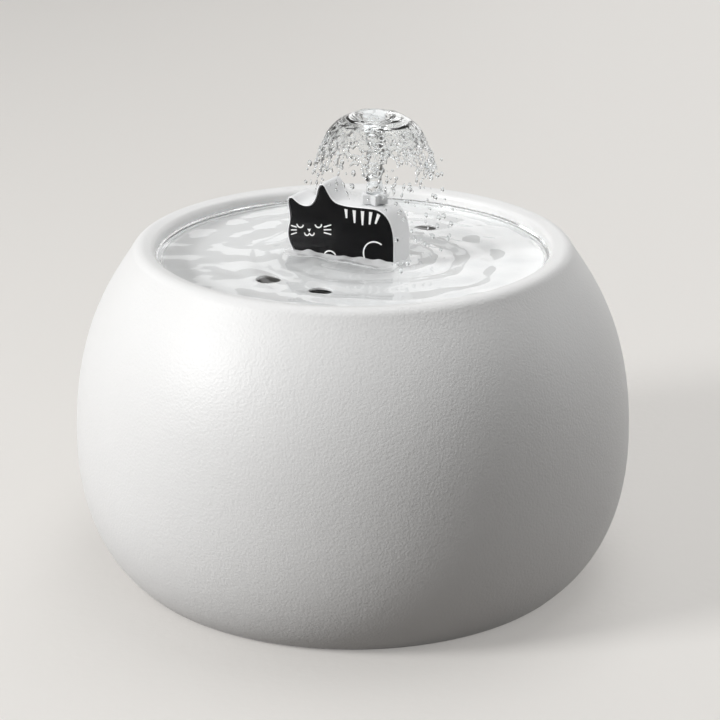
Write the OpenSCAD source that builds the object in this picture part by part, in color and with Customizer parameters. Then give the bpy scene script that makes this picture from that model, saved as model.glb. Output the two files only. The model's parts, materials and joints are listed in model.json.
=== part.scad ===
// Pet water fountain: a round ceramic bowl, a pump box on its floor, a tray that
// drops into its mouth, and a cat-shaped spout that throws a dome of water.
// Millimetres. The origin is on the floor under the middle of the bowl, +Z is up,
// and the inlet is at the rear, on the +Y side.

/* [Bowl] */
// Widest diameter of the bowl
bowl_d = 210; // [200:1:260]
// Height of the bowl, from its base to the top of its rim
bowl_h = 124; // [100:1:155]
// Height of the widest line above the base
belly_h = 49; // [40:1:58]
// Diameter of the base
base_d = 175.6; // [150:0.2:190]
// How far the lower wall keeps its width, as a share of the height below the belly
lower_fullness = 0.75; // [0.5:0.05:0.85]
// How far the upper wall keeps its width, as a share of the height above the belly
upper_fullness = 0.68; // [0.5:0.02:0.8]
// Thickness of the ceramic wall
wall = 5; // [4:0.5:6.5]
// Thickness of the ceramic floor
floor_t = 5; // [4:0.5:8]
// Inside diameter of the mouth
mouth_d = 146.4; // [122:0.2:164]
// Radius of the rounded rim
bead_r = 4.6; // [4:0.1:5.5]
// Depth of the ledge that carries the tray, below the top of the rim
ledge_depth = 16; // [14:0.5:20]
// Width of that ledge
ledge_w = 4.7; // [4:0.1:7]

/* [Feet] */
// Diameter of a foot pad
pad_d = 16; // [10:1:20]
// Thickness of a foot pad
pad_t = 1.5; // [1.5:0.5:3]
// How far a pad is let into the base
pad_sink = 0.5; // [0.5:0.1:1]
// Diameter of the circle on which the pads lie
pad_circle = 130; // [100:1:140]

/* [Tray] */
// Depth of the water on the tray, below the top of the rim, down to the tray's face
tray_depth = 9; // [8:0.5:11]
// Thickness of the tray
tray_t = 2.5; // [2:0.1:3]
// Height of the upturned edge
tray_edge_h = 2.5; // [2:0.1:4]
// Thickness of the edge and of the skirt below it
tray_edge_t = 2; // [1.6:0.1:3]
// Diameter of a drain hole
drain_d = 8.5; // [6:0.5:10]
// Length of the socket below the tray that takes the riser
socket_l = 15.5; // [13:0.5:20]

/* [Spout] */
// Place of the nozzle, to the right of the middle
spout_x = 8; // [0:0.5:12]
// Place of the nozzle, to the rear of the middle
spout_y = -6; // [-12:0.5:4]
// Turn of the spout about the nozzle
spout_turn = -27; // [-60:1:60]
// Thickness of the spout, front to back
cat_t = 13; // [12:0.5:18]
// Wall of the spout's shell
shell_t = 1.2; // [1:0.1:1.4]
// Width of the pale rim around the face plate
rim_w = 0.9; // [0.8:0.1:1.1]
// Depth of the recess that holds the face plate
face_recess = 1.2; // [1.1:0.1:1.4]
// Thickness of the face plate
face_t = 0.9; // [0.6:0.1:1]
// Thickness of the raised markings
mark_t = 0.15; // [0.1:0.05:0.2]
// Radius of the stem inside the spout
stem_r = 4; // [3.8:0.1:4]
// Radius of the plug at the stem's foot
plug_r = 5.5; // [5.4:0.1:6]
// Radius of the water channel in the stem
stem_bore_r = 2.5; // [2:0.1:2.7]

/* [Nozzle] */
// Radius over the points of the star
star_r = 5.2; // [4.8:0.1:6]
// Radius at the notches of the star
star_in_r = 3.9; // [3.8:0.1:4.4]
// Number of points on the star
star_points = 6; // [5:1:8]
// Height of the star
star_h = 3.4; // [2.5:0.1:5]

/* [Water] */
// Height of the jet above the nozzle
jet_h = 31; // [20:1:45]
// Radius of the dome of water
dome_r = 23.5; // [15:0.5:30]
// Radius of the rising column
jet_r = 2.9; // [2.6:0.1:3]

/* [Pump] */
// Width of the pump
pump_w = 38; // [36:1:44]
// Height of the pump
pump_h = 38; // [37:1:42]
// Length of the pump, front to back
pump_l = 40; // [40:1:46]
// Radius of the impeller chamber
chamber_r = 13.5; // [13:0.1:14]
// Depth of the impeller chamber
chamber_l = 11; // [10.6:0.1:12]
// Radius of the rotor well
well_r = 8; // [7.6:0.1:8.2]
// Radius of the shaft
shaft_r = 1; // [0.8:0.1:1.2]
// Bore radius of the outlet
outlet_r = 4; // [3.8:0.1:4.2]
// Height of the outlet spigot
spigot_h = 8; // [6:0.5:8]
// Travel of the flow slider
slider_travel = 7; // [4:0.5:7]

/* [Pump box] */
// Inside width of the box
box_w = 64; // [62:1:72]
// Inside length of the box
box_l = 62; // [60:1:72]
// Height of the box
box_h = 49; // [49:1:54]
// Wall of the box
box_t = 2; // [1.6:0.1:2.5]
// Inside radius of the box's corners
box_corner = 8; // [6:1:10]
// Height of a suction cup below the box
cup_h = 3; // [2.5:0.5:5]
// Thickness of the lid
lid_t = 2.5; // [2:0.1:3]

/* [Filter] */
// Width of the cartridge
filter_w = 52; // [44:1:56]
// Length of the cartridge, front to back
filter_l = 27; // [22:1:28]
// Height of the cartridge
filter_h = 9; // [7:0.5:10]

/* [Riser] */
// Outside radius of the riser tube
riser_r = 6; // [5.4:0.1:6]
// Gap between the top of the riser and the foot of the stem
riser_gap = 2.3; // [1.5:0.1:4]

/* [Inlet] */
// Height of the power inlet above the base
inlet_h = 44; // [38:1:46]
// Radius of the hole in the wall
inlet_hole_r = 5.5; // [5:0.1:6]
// Depth of the recess around the inlet
inlet_recess = 3.5; // [3:0.1:3.6]
// Radius of that recess
inlet_recess_r = 10.5; // [10:0.5:12]

/* [Hidden] */
$fn = 96;

// Clearances
gap = 0.3;         // between pieces that lift apart
fit = 0.05;        // between a shaft and its bore
snug = 0.1;        // around a plate that is glued or pressed into a pocket
cut = 1;           // overshoot of a cutting shape

// Levels
base_z = pad_t - pad_sink;
bowl_r = bowl_d / 2;
mouth_r = mouth_d / 2;
base_r = base_d / 2;
belly_z = base_z + belly_h;
rim_z = base_z + bowl_h;
tank_z = base_z + floor_t;
ledge_z = rim_z - ledge_depth;
tray_z = rim_z - tray_depth;
box_z = tank_z + cup_h;
pump_z = box_z + box_t;
pump_top = pump_z + pump_h;
lid_z = box_z + box_h;

// Bowl section
lip_a = 21.6;                  // where the outer curve runs into the rim
lip_pull = 6;                  // length of the curve's handle there
neck_t = 5;                    // thickness of the turned-in neck
neck_l = 7;                    // depth of the neck below the ledge
neck_gap = 9;                  // from the rim down to the hollow behind the neck
bead_c = [mouth_r + bead_r, rim_z - bead_r];
lip = bead_c + bead_r * [cos(lip_a), sin(lip_a)];
ledge_r = mouth_r - ledge_w;
upper_curve = [[bowl_r, belly_z], [bowl_r, belly_z + upper_fullness * (lip.y - belly_z)],
    lip + lip_pull * [sin(lip_a), -cos(lip_a)], lip];
lower_curve = [[base_r, base_z], [base_r + 0.3, base_z + 1],
    [bowl_r, belly_z - lower_fullness * belly_h], [bowl_r, belly_z]];

// Points of a cubic curve with handles, and the same curve moved to its left by d
function curve_at(c, t) = pow(1 - t, 3) * c[0] + 3 * t * pow(1 - t, 2) * c[1]
    + 3 * t * t * (1 - t) * c[2] + pow(t, 3) * c[3];
function curve_dir(c, t) = unit(pow(1 - t, 2) * (c[1] - c[0]) + 2 * t * (1 - t) * (c[2] - c[1])
    + t * t * (c[3] - c[2]));
function unit(v) = v / norm(v);
function left_of(v) = [-v.y, v.x];
function curve_points(c, n, d = 0) =
    [for (i = [0 : n]) curve_at(c, i / n) + d * left_of(curve_dir(c, i / n))];

// Pump, as distances from its front face and from the rotor's axis
outlet_off = 7.5;              // outlet to rotor axis, so that it leaves on a tangent
spigot_r = outlet_r + 2;
outlet_depth = spigot_r;       // the spigot stays behind the front face
rotor_x = spout_x - outlet_off;
rotor_z = pump_top - chamber_r - 1.5;
front_y = spout_y - outlet_depth;
pump_wall = 2.5;
back_wall = 1.5;               // behind the chamber and around the well
well_end = chamber_l + 17;
bush_l = 3;
bush_r = 3;
potting_t = 6;
board_t = 1.2;
core_from = 15;
core_to = 27;
core_half = 15;
core_bar = 5;
coil_t = 2.4;
coil_half = 8.5;
core_low = rotor_z - well_r - back_wall - snug - coil_t - core_bar;
magnet_r = well_r - 0.5;
sleeve_r = 2.5;
impeller_r = chamber_r - 2;
cover_t = 2.5;
cover_boss_r = 4;
front_bush_r = 2.5;
front_bush_l = 2.5;
slider_w = 8;
slider_t = 1.8;
slider_half = 10.7;
cover_left = -pump_w / 2 + 1;  // the cover's left edge, from the rotor's axis
rail_h = 2;
rail_lip_t = 1.2;              // thickness of a rail's lip over the slider
rail_grip = 1.4;               // and how far it reaches over it
slider_tab_t = 2;
slider_tab_w = 2.5;
slider_tab_h = 8;
intake_r = 9;
spoke_w = 1.8;
spoke_t = 1.5;
cover_inset = 1;               // from the pump's side to the cover's
cover_corner = 5;
cover_lip_h = 1.5;             // the lip that centres the cover in the chamber
cover_lip_t = 1.3;
shaft_front = 1;               // how far the shaft stands in the front bush
vane_t = 1.2;
vane_from = 3.5;
disc_t = 1.2;
disc_end = 0.5;                // from the disc to the end of the chamber
board_w = 24;
board_h = 26;
board_sill = 5;
core_slit = 4;
core_over = 12;                // height of the core's arms above the rotor's axis

// Pump box
box_x = rotor_x;
box_y = 4;
cup_x = 25;
cup_y = 27;
cup_hole_r = 2.5;
cup_r = 7;
cup_neck_r = 3.6;
cup_hollow_r = 5;
cup_hollow_h = 0.8;
cup_head_h = 2.2;
lead_r = 1.8;
lead_z = 20;
grommet_hole_r = 3.4;
grommet_lip = 1.2;
grommet_lip_t = 1;
window_pitch = 8;              // slots in the left wall that let the water in
window_w = 3;
window_h = 30;
window_sill = 4;
foam_l = 44;
foam_h = 38;
lid_skirt_t = 1.5;
lid_skirt_h = 3;
pocket_h = 5.5;
pocket_t = 1.5;
tab_w = 24;                    // finger tab on the lid
tab_t = 2;
tab_h = 6;
tab_y = 4;                     // from the box's inner front wall
lid_slot_pitch = 4.6;          // slots below the cartridge
lid_slot_w = 2.4;
lid_slot_edge = 4;
filter_y = box_y + box_l / 2 - filter_l / 2 - 2;
frame_t = 1.2;
frame_slot_pitch = 7;
frame_slot_w = 4.4;
frame_slot_edge = 3;

// Riser and tray socket
riser_foot_t = 2;
socket_wall = 3.5;
riser_clear = 0.5;
socket_r = riser_r + riser_clear;
plug_bore_r = plug_r + gap;
seal_pocket = 1.5;             // depth, height and place of the riser seal's groove
seal_h = 3;
seal_up = 3;
groove_up = 1.2;               // the gasket's groove, above the ledge
groove_h = 2.2;
groove_t = 1.2;
gasket_gap = 0.2;
plug_l = 6.7;
plug_z = tray_z - plug_l;
riser_top = plug_z - riser_gap;
tray_r = mouth_r - 0.4;
drains = [[-30.4, -27.5], [-11.5, -40], [28.5, 37], [-8, 42]];
pin_xs = [-25, 8.5];           // locating pins under the spout, from the nozzle's axis
pin_r = 1.4;
pin_l = 1.5;

// Spout. Its outline is seen from the front, from the nozzle's axis and the tray's face.
cat_curves = [
    [[-29, 0], [-29.6, 4], [-33.1, 6.5], [-33.1, 10.5]],          // cheek
    [[-33.1, 10.5], [-33.1, 13.5], [-32.2, 14.5], [-32.2, 17]],   // temple
    [[-32.2, 17], [-32.2, 19.5], [-32.9, 21.5], [-32.9, 23.2]],   // left ear
    [[-32.9, 23.2], [-32.9, 25], [-31.3, 25.4], [-30.2, 24.6]],
    [[-30.2, 24.6], [-28.8, 23.6], [-27.6, 22.6], [-25.8, 22.6]],
    [[-25.8, 22.6], [-24, 22.6], [-22.9, 23.2], [-22, 24.6]],     // right ear
    [[-22, 24.6], [-20.9, 26.4], [-20.8, 28.3], [-20.1, 30]],
    [[-20.1, 30], [-19.4, 31.9], [-17.7, 31.9], [-16.8, 30.4]],
    [[-16.8, 30.4], [-15.2, 27.8], [-14.4, 25.6], [-11.5, 25]],   // nape
    [[-11.5, 25], [-7.5, 24.2], [-3.5, 24.9], [2.5, 24.9]],       // back
    [[2.5, 24.9], [8.5, 24.9], [11.3, 19.5], [11.3, 12]]];        // rump
cat_steps = 7;
cat_outline = concat([for (c = cat_curves) for (i = [0 : cat_steps - 1]) curve_at(c, i / cat_steps)],
    [[11.3, 12], [11.3, 0]]);
cat_back_h = 24.9;
stem_top = cat_back_h + 0.3;
nozzle_spigot_l = 4;
nozzle_bore_r = 2.5;
nozzle_spigot_r = 3.1;
nozzle_seat_r = nozzle_spigot_r + 0.2;
crown_depth = 1;
crown_r = 3.2;
seal_minor = 0.8;
seal_z = -3.4;
post_r = 1.2;
posts = [[-25, 10], [-10.5, 10]];

// A closed outline that runs clockwise, moved inwards by d
function inset(p, d) = [for (i = [0 : len(p) - 1])
    let (a = p[(i + len(p) - 1) % len(p)], b = p[i], c = p[(i + 1) % len(p)],
        u = unit(b - a), v = unit(c - b), m = unit(-left_of(u) - left_of(v)))
    b + m * d / max(0.5, -(m * left_of(u)))];

// Inlet
inlet_z = base_z + inlet_h;
recess_y = bowl_r - inlet_recess;
inlet_boss_r = 11;
boss_y = bowl_r - wall - 2.5;
seal_t = 1;
flange_t = 1.5;
flange_r = 9;
flange_y = recess_y + seal_t;
barrel_r = inlet_hole_r - 0.2;
barrel_end = boss_y - 9.5;
nut_t = 4;
nut_r = 9.2;
jack_r = 2.85;
jack_depth = 9;
jack_pin_r = 1;

// Route of the pump's lead, held inside the bowl
lead_from = front_y + pump_l;
lead_path = [[rotor_x, lead_from, lead_z], [rotor_x, lead_from + 4, lead_z],
    [rotor_x, 36, lead_z], [rotor_x, 41, lead_z], [2, 49, 18], [6, 57, 17], [10, 64, 21],
    [11, 69, 28], [8, 72, 36], [3, 74, 42], [0.4, 78, 44.8],
    [0, barrel_end - 5, inlet_z], [0, barrel_end, inlet_z]];
lead_sides = 8;
lead_steps = 3;

// Frames
module along_y(d) translate([rotor_x, front_y + d, rotor_z]) rotate([-90, 0, 0]) children();
module slab_y(a, b) translate([0, b, 0]) rotate([90, 0, 0]) linear_extrude(b - a) children();
module pump_slab(a, b) translate([rotor_x, front_y, 0]) slab_y(a, b) children();
module at_spout() translate([spout_x, spout_y, tray_z]) rotate([0, 0, spout_turn]) children();
module at_inlet(y) translate([0, y, inlet_z]) rotate([-90, 0, 0]) children();
module at_box(z) translate([box_x, box_y, z]) children();

// Shapes
module pipe(r_out, r_in, h) {
    difference() {
        cylinder(r = r_out, h = h);
        translate([0, 0, -cut]) cylinder(r = r_in, h = h + 2 * cut);
    }
}
module round_box(a, b, r) {
    translate([a.x + r, a.y]) square([b.x - a.x - 2 * r, b.y - a.y]);
    translate([a.x, a.y + r]) square([b.x - a.x, b.y - a.y - 2 * r]);
    for (x = [a.x + r, b.x - r]) for (y = [a.y + r, b.y - r])
        translate([x, y]) circle(r = r, $fn = 48);
}
module centred_box(w, l, r) round_box([-w / 2, -l / 2], [w / 2, l / 2], r);

// Bowl
module tank_section() {
    inner = concat(curve_points(lower_curve, 12, wall),
        [for (p = curve_points(upper_curve, 18, wall)) if (p.y > belly_z) p]);
    difference() {
        intersection() {
            polygon(concat([[0, 0]], inner, [[0, inner[len(inner) - 1].y]]));
            translate([0, tank_z]) square([bowl_r, rim_z - neck_gap - bead_r - tank_z]);
        }
        translate([0, ledge_z - neck_l]) square([mouth_r + neck_t, bowl_h]);
    }
}
module bowl_section() {
    difference() {
        union() {
            polygon(concat([[0, base_z]], curve_points(lower_curve, 14),
                [for (p = curve_points(upper_curve, 24)) if (p.y > belly_z) p],
                [bead_c, [mouth_r, bead_c.y], [0, bead_c.y]]));
            translate(bead_c) circle(r = bead_r);
        }
        tank_section();
        translate([0, tank_z]) square([ledge_r, bowl_h]);
        translate([0, ledge_z]) square([mouth_r, bowl_h]);
    }
}
module pads(r, z, h) {
    for (a = [45 : 90 : 315])
        rotate([0, 0, a]) translate([pad_circle / 2, 0, z]) cylinder(r = r, h = h);
}
module bowl() color("whitesmoke") {
    difference() {
        union() {
            rotate_extrude($fn = 180) bowl_section();
            at_inlet(boss_y) cylinder(r = inlet_boss_r, h = inlet_recess);
        }
        pads(pad_d / 2, base_z - cut, cut + pad_sink);
        at_inlet(boss_y - cut) cylinder(r = inlet_hole_r, h = bowl_r);
        at_inlet(recess_y) cylinder(r = inlet_recess_r, h = bowl_r);
    }
}
module foot_pads() color("dimgray") pads(pad_d / 2, 0, pad_t);

// Power inlet
module inlet_body() color("#303234") {
    difference() {
        union() {
            at_inlet(flange_y) cylinder(r = flange_r, h = flange_t);
            at_inlet(barrel_end) cylinder(r = barrel_r, h = flange_y - barrel_end + flange_t / 2);
        }
        at_inlet(flange_y + flange_t - jack_depth) cylinder(r = jack_r, h = jack_depth + cut);
        at_inlet(barrel_end + 2) cylinder(r = jack_pin_r, h = jack_depth + cut);
    }
}
module inlet_seal() color("#707274") at_inlet(recess_y) pipe(flange_r - 0.5, inlet_hole_r, seal_t);
module inlet_nut() color("#303234") {
    difference() {
        at_inlet(boss_y - nut_t) cylinder(r = nut_r, h = nut_t, $fn = 6);
        at_inlet(boss_y - nut_t - cut) cylinder(r = barrel_r + fit, h = nut_t + 2 * cut);
    }
}
module inlet_contacts() color("gold") {
    at_inlet(barrel_end + 2) cylinder(r = jack_pin_r, h = flange_y - barrel_end - 2.5);
}

// Lead from the pump to the inlet
function spline(p0, p1, p2, p3, t) = 0.5 * (2 * p1 + t * (p2 - p0)
    + t * t * (2 * p0 - 5 * p1 + 4 * p2 - p3) + t * t * t * (3 * p1 - p0 - 3 * p2 + p3));
function lead_point(i, t) = spline(lead_path[max(i - 1, 0)], lead_path[i], lead_path[i + 1],
    lead_path[min(i + 2, len(lead_path) - 1)], t);
module pump_lead() color("#2a2b2d") {
    last = len(lead_path) - 2;
    line = concat(
        [for (i = [0 : last]) for (k = [0 : lead_steps - 1]) lead_point(i, k / lead_steps)],
        [lead_path[last + 1]]);
    n = len(line);
    rings = [for (i = [0 : n - 1])
        let (d = i == 0 || i == n - 1 ? [0, 1, 0] : unit(line[i + 1] - line[i - 1]),
            side = unit(cross([1, 0, 0], d)), up = cross(side, d))
        for (k = [0 : lead_sides - 1])
            line[i] + lead_r * (cos(360 * k / lead_sides) * side + sin(360 * k / lead_sides) * up)];
    walls = [for (i = [0 : n - 2]) for (k = [0 : lead_sides - 1])
        let (a = i * lead_sides + k, b = i * lead_sides + (k + 1) % lead_sides)
        [a, b, b + lead_sides, a + lead_sides]];
    near = [[for (k = [lead_sides - 1 : -1 : 0]) k]];
    far = [[for (k = [0 : lead_sides - 1]) (n - 1) * lead_sides + k]];
    polyhedron(rings, concat(near, walls, far), convexity = 6);
}
module lead_grommet() color("#404244") {
    wall_y = box_y + box_l / 2;
    translate([rotor_x, wall_y, lead_z]) rotate([-90, 0, 0]) difference() {
        union() {
            translate([0, 0, -grommet_lip_t]) cylinder(r = grommet_hole_r + grommet_lip, h = grommet_lip_t);
            cylinder(r = grommet_hole_r, h = box_t);
            translate([0, 0, box_t]) cylinder(r = grommet_hole_r + grommet_lip, h = grommet_lip_t);
        }
        translate([0, 0, -2 * cut]) cylinder(r = lead_r + fit, h = box_t + 4 * cut);
    }
}

// Pump box
module at_cups(z) {
    for (x = [-cup_x, cup_x]) for (y = [-cup_y, cup_y])
        at_box(z) translate([x, y, 0]) children();
}
module suction_cups() color("#8a8d90") {
    at_cups(tank_z) rotate_extrude($fn = 48)
        polygon([[0, cup_hollow_h], [cup_hollow_r, 0], [cup_r, 0], [cup_r - 0.6, 0.9],
            [cup_neck_r, cup_h], [cup_hole_r, cup_h],
            [cup_hole_r, cup_h + box_t], [cup_hole_r + 1, cup_h + box_t],
            [cup_hole_r - 0.5, cup_h + box_t + cup_head_h], [0, cup_h + box_t + cup_head_h]]);
}
module pump_box() color("#e9ebec") {
    difference() {
        at_box(box_z) linear_extrude(box_h)
            centred_box(box_w + 2 * box_t, box_l + 2 * box_t, box_corner + box_t);
        at_box(pump_z) linear_extrude(box_h) centred_box(box_w, box_l, box_corner);
        at_cups(box_z - cut) cylinder(r = cup_hole_r, h = box_t + 2 * cut);
        for (i = [-2 : 2])
            at_box(pump_z + window_sill)
                translate([-box_w / 2 - box_t - cut, window_pitch * i - window_w / 2, 0])
                cube([box_t + 2 * cut, window_w, window_h]);
        translate([rotor_x, box_y + box_l / 2 - cut, lead_z]) rotate([-90, 0, 0])
            cylinder(r = grommet_hole_r, h = box_t + 2 * cut);
    }
}
module foam_block() color("#3d4247") {
    left = box_x - box_w / 2 + gap;
    right = rotor_x - pump_w / 2 - gap;
    translate([left, box_y - foam_l / 2, pump_z]) cube([right - left, foam_l, foam_h]);
}
module box_lid() color("#f2f3f3") {
    difference() {
        union() {
            at_box(lid_z) linear_extrude(lid_t)
                centred_box(box_w + 2 * box_t, box_l + 2 * box_t, box_corner + box_t);
            at_box(lid_z - lid_skirt_h) linear_extrude(lid_skirt_h + cut)
                centred_box(box_w - 2 * gap, box_l - 2 * gap, box_corner - gap);
            translate([box_x, filter_y, lid_z]) linear_extrude(lid_t + pocket_h)
                centred_box(filter_w + 2 * (gap + pocket_t), filter_l + 2 * (gap + pocket_t), 3);
            translate([box_x - tab_w / 2, box_y - box_l / 2 + tab_y, lid_z])
                cube([tab_w, tab_t, lid_t + tab_h]);
        }
        at_box(lid_z - lid_skirt_h - cut) linear_extrude(lid_skirt_h + cut)
            centred_box(box_w - 2 * (gap + lid_skirt_t), box_l - 2 * (gap + lid_skirt_t),
                box_corner - gap - lid_skirt_t);
        translate([box_x, filter_y, lid_z + lid_t]) linear_extrude(pocket_h + cut)
            centred_box(filter_w + 2 * gap, filter_l + 2 * gap, 1.5);
        for (i = [-2 : 2])
            translate([box_x - filter_w / 2 + lid_slot_edge,
                filter_y + lid_slot_pitch * i - lid_slot_w / 2, lid_z - cut])
                cube([filter_w - 2 * lid_slot_edge, lid_slot_w, lid_t + 2 * cut]);
        translate([spout_x, spout_y, lid_z - cut]) cylinder(r = riser_r + riser_clear, h = lid_t + 2 * cut);
    }
}

// Filter cartridge
module filter_frame() color("#f4f4f2") {
    translate([box_x, filter_y, lid_z + lid_t]) difference() {
        linear_extrude(filter_h) centred_box(filter_w, filter_l, 1.2);
        translate([0, 0, frame_t]) linear_extrude(filter_h)
            centred_box(filter_w - 2 * frame_t, filter_l - 2 * frame_t, 0.6);
        for (i = [-3 : 3])
            translate([frame_slot_pitch * i - frame_slot_w / 2, -filter_l / 2 + frame_slot_edge, -cut])
                cube([frame_slot_w, filter_l - 2 * frame_slot_edge, frame_t + 2 * cut]);
    }
}
module filter_pad() color("#c9cdd0") {
    translate([box_x, filter_y, lid_z + lid_t + frame_t]) linear_extrude(filter_h - frame_t - 1)
        centred_box(filter_w - 2 * frame_t - 0.4, filter_l - 2 * frame_t - 0.4, 0.6);
}

// Pump
module pump_housing() color("#2b2d30") {
    difference() {
        union() {
            difference() {
                translate([rotor_x, front_y, pump_z]) translate([-pump_w / 2, 0, 0])
                    cube([pump_w, pump_l, pump_h]);
                translate([rotor_x - pump_w / 2 + pump_wall, front_y + chamber_l + back_wall,
                    pump_z + pump_wall])
                    cube([pump_w - 2 * pump_wall, pump_l, pump_h - 2 * pump_wall]);
            }
            along_y(chamber_l)
                cylinder(r = well_r + back_wall, h = well_end + bush_l + back_wall - chamber_l);
            translate([spout_x, spout_y, pump_top - back_wall])
                cylinder(r = spigot_r, h = spigot_h + back_wall);
        }
        along_y(-cut) cylinder(r = chamber_r, h = chamber_l + cut);
        along_y(chamber_l - cut) cylinder(r = well_r, h = well_end - chamber_l + cut);
        along_y(well_end - cut) cylinder(r = bush_r, h = bush_l + cut);
        translate([spout_x, spout_y, rotor_z]) cylinder(r = outlet_r, h = pump_h);
    }
}
module stator_core() color("#8c9095") {
    pump_slab(core_from, core_to) difference() {
        translate([-core_half, core_low]) square([2 * core_half, rotor_z + core_over - core_low]);
        translate([0, rotor_z]) circle(r = well_r + back_wall + snug);
        translate([-coil_half, core_low + core_bar])
            square([2 * coil_half, rotor_z - core_low - core_bar]);
        translate([-core_slit / 2, rotor_z]) square([core_slit, pump_h]);
    }
}
module stator_coil() color("#b5652b") {
    difference() {
        translate([rotor_x - coil_half, front_y + core_from - coil_t, core_low - coil_t])
            cube([2 * coil_half, core_to - core_from + 2 * coil_t, core_bar + 2 * coil_t]);
        translate([rotor_x - coil_half - cut, front_y + core_from, core_low])
            cube([2 * (coil_half + cut), core_to - core_from, core_bar]);
    }
}
module pump_board() color("#2f6b3f") {
    translate([rotor_x - board_w / 2, front_y + pump_l - potting_t - board_t, pump_z + board_sill])
        cube([board_w, board_t, board_h]);
}
module pump_potting() color("#1d1e20") {
    translate([rotor_x - pump_w / 2 + pump_wall, front_y + pump_l - potting_t, pump_z + pump_wall])
        cube([pump_w - 2 * pump_wall, potting_t, pump_h - 2 * pump_wall]);
}
module rotor_magnet() color("#55585c") {
    along_y(chamber_l + gap) pipe(magnet_r, sleeve_r, well_end - chamber_l - 1.3);
}
module impeller() color("#d9dcde") {
    difference() {
        union() {
            along_y(front_bush_l) cylinder(r = sleeve_r, h = well_end - front_bush_l - 0.5);
            along_y(chamber_l - disc_t - disc_end) cylinder(r = impeller_r, h = disc_t);
            for (a = [0 : 60 : 300])
                along_y(vane_from) rotate([0, 0, a]) translate([sleeve_r - 1, -vane_t / 2, 0])
                    cube([impeller_r - sleeve_r + 0.7, vane_t, chamber_l - vane_from - disc_t - gap]);
        }
        along_y(0) cylinder(r = shaft_r + fit, h = pump_l);
    }
}
module pump_shaft() color("#f1efe6") along_y(-shaft_front)
    cylinder(r = shaft_r, h = well_end + bush_l + shaft_front);
module rear_bush() color("#3a3c3f") along_y(well_end) pipe(bush_r, shaft_r, bush_l);
module front_bush() color("#3a3c3f") along_y(-shaft_front)
    pipe(front_bush_r, shaft_r + fit, front_bush_l);
module impeller_cover() color("#3a3c3f") {
    rail_l = slider_w + slider_travel + 2;
    lip_w = rail_grip + 2 * gap;
    lip_mid = slider_half - rail_grip + lip_w / 2;
    difference() {
        union() {
            difference() {
                union() {
                    pump_slab(-cover_t, 0) translate([0, rotor_z])
                        centred_box(pump_w - 2 * cover_inset, 2 * (chamber_r + cover_lip_t), cover_corner);
                    along_y(-cut) cylinder(r = chamber_r - gap, h = cut + cover_lip_h);
                }
                along_y(-cut) cylinder(r = chamber_r - gap - cover_lip_t, h = 2 * cut + cover_lip_h);
                along_y(-cover_t - cut) cylinder(r = intake_r, h = pump_l);
            }
            for (a = [30 : 120 : 270])
                along_y(-cover_t) rotate([0, 0, a]) translate([0, -spoke_w / 2, 0])
                    cube([intake_r + 1, spoke_w, spoke_t]);
            along_y(-cover_t) cylinder(r = cover_boss_r, h = cover_t + cover_lip_h);
            for (side = [-1, 1]) {
                pump_slab(-cover_t - slider_t - rail_lip_t, -cover_t)
                    translate([cover_left, rotor_z + side * (slider_half + gap + rail_h / 2) - rail_h / 2])
                    square([rail_l, rail_h]);
                pump_slab(-cover_t - slider_t - rail_lip_t, -cover_t - slider_t - gap)
                    translate([cover_left, rotor_z + side * lip_mid - lip_w / 2]) square([rail_l, lip_w]);
            }
        }
        along_y(-shaft_front) cylinder(r = front_bush_r, h = cover_t + cut);
    }
}
module flow_slider() color("#c8cbce") {
    pump_slab(-cover_t - slider_t, -cover_t)
        translate([cover_left, rotor_z - slider_half]) square([slider_w, 2 * slider_half]);
    pump_slab(-cover_t - slider_t - slider_tab_t, -cover_t - slider_t)
        translate([cover_left + 2, rotor_z - slider_tab_h / 2]) square([slider_tab_w, slider_tab_h]);
}

// Riser, from the pump's outlet to the tray
module riser_tube() color("#dfe3e6") {
    foot = spigot_r + fit;
    foot_top = pump_top + spigot_h;
    translate([spout_x, spout_y, 0]) rotate_extrude() polygon([
        [outlet_r, foot_top], [foot, foot_top], [foot, pump_top],
        [foot + riser_foot_t - fit, pump_top], [foot + riser_foot_t - fit, foot_top + 0.5],
        [riser_r, foot_top + 0.9], [riser_r, riser_top], [outlet_r, riser_top]]);
}
module riser_seal() color("#b9bdc0") {
    translate([spout_x, spout_y, tray_z - tray_t - socket_l + seal_up])
        pipe(socket_r + seal_pocket, riser_r + 0.2, seal_h);
}

// Tray
module tray() color("white") {
    socket_z = tray_z - tray_t - socket_l;
    groove_z = ledge_z + groove_up;
    difference() {
        union() {
            rotate_extrude($fn = 180) difference() {
                union() {
                    translate([0, tray_z - tray_t]) square([tray_r, tray_t]);
                    translate([tray_r - tray_edge_t, ledge_z])
                        square([tray_edge_t, tray_z + tray_edge_h - ledge_z]);
                }
                translate([tray_r - groove_t, groove_z]) square([2 * groove_t, groove_h]);
            }
            translate([spout_x, spout_y, socket_z])
                cylinder(r = socket_r + socket_wall, h = socket_l + tray_t / 2);
        }
        translate([spout_x, spout_y, socket_z - cut]) cylinder(r = socket_r, h = plug_z - socket_z + cut);
        translate([spout_x, spout_y, socket_z + seal_up])
            cylinder(r = socket_r + seal_pocket, h = seal_h);
        translate([spout_x, spout_y, 0]) cylinder(r = plug_bore_r, h = rim_z);
        at_spout() for (x = pin_xs) translate([x, 0, -pin_l - gap])
            cylinder(r = pin_r + 0.2, h = rim_z, $fn = 48);
        for (p = drains) translate([p.x, p.y, tray_z - tray_t - cut])
            cylinder(d = drain_d, h = tray_t + 2 * cut);
    }
}
module tray_gasket() color("#d5d8da") {
    translate([0, 0, ledge_z + groove_up]) difference() {
        cylinder(r = mouth_r - gasket_gap, h = groove_h, $fn = 180);
        translate([0, 0, -cut]) cylinder(r = tray_r - groove_t, h = groove_h + 2 * cut, $fn = 180);
    }
}

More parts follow.
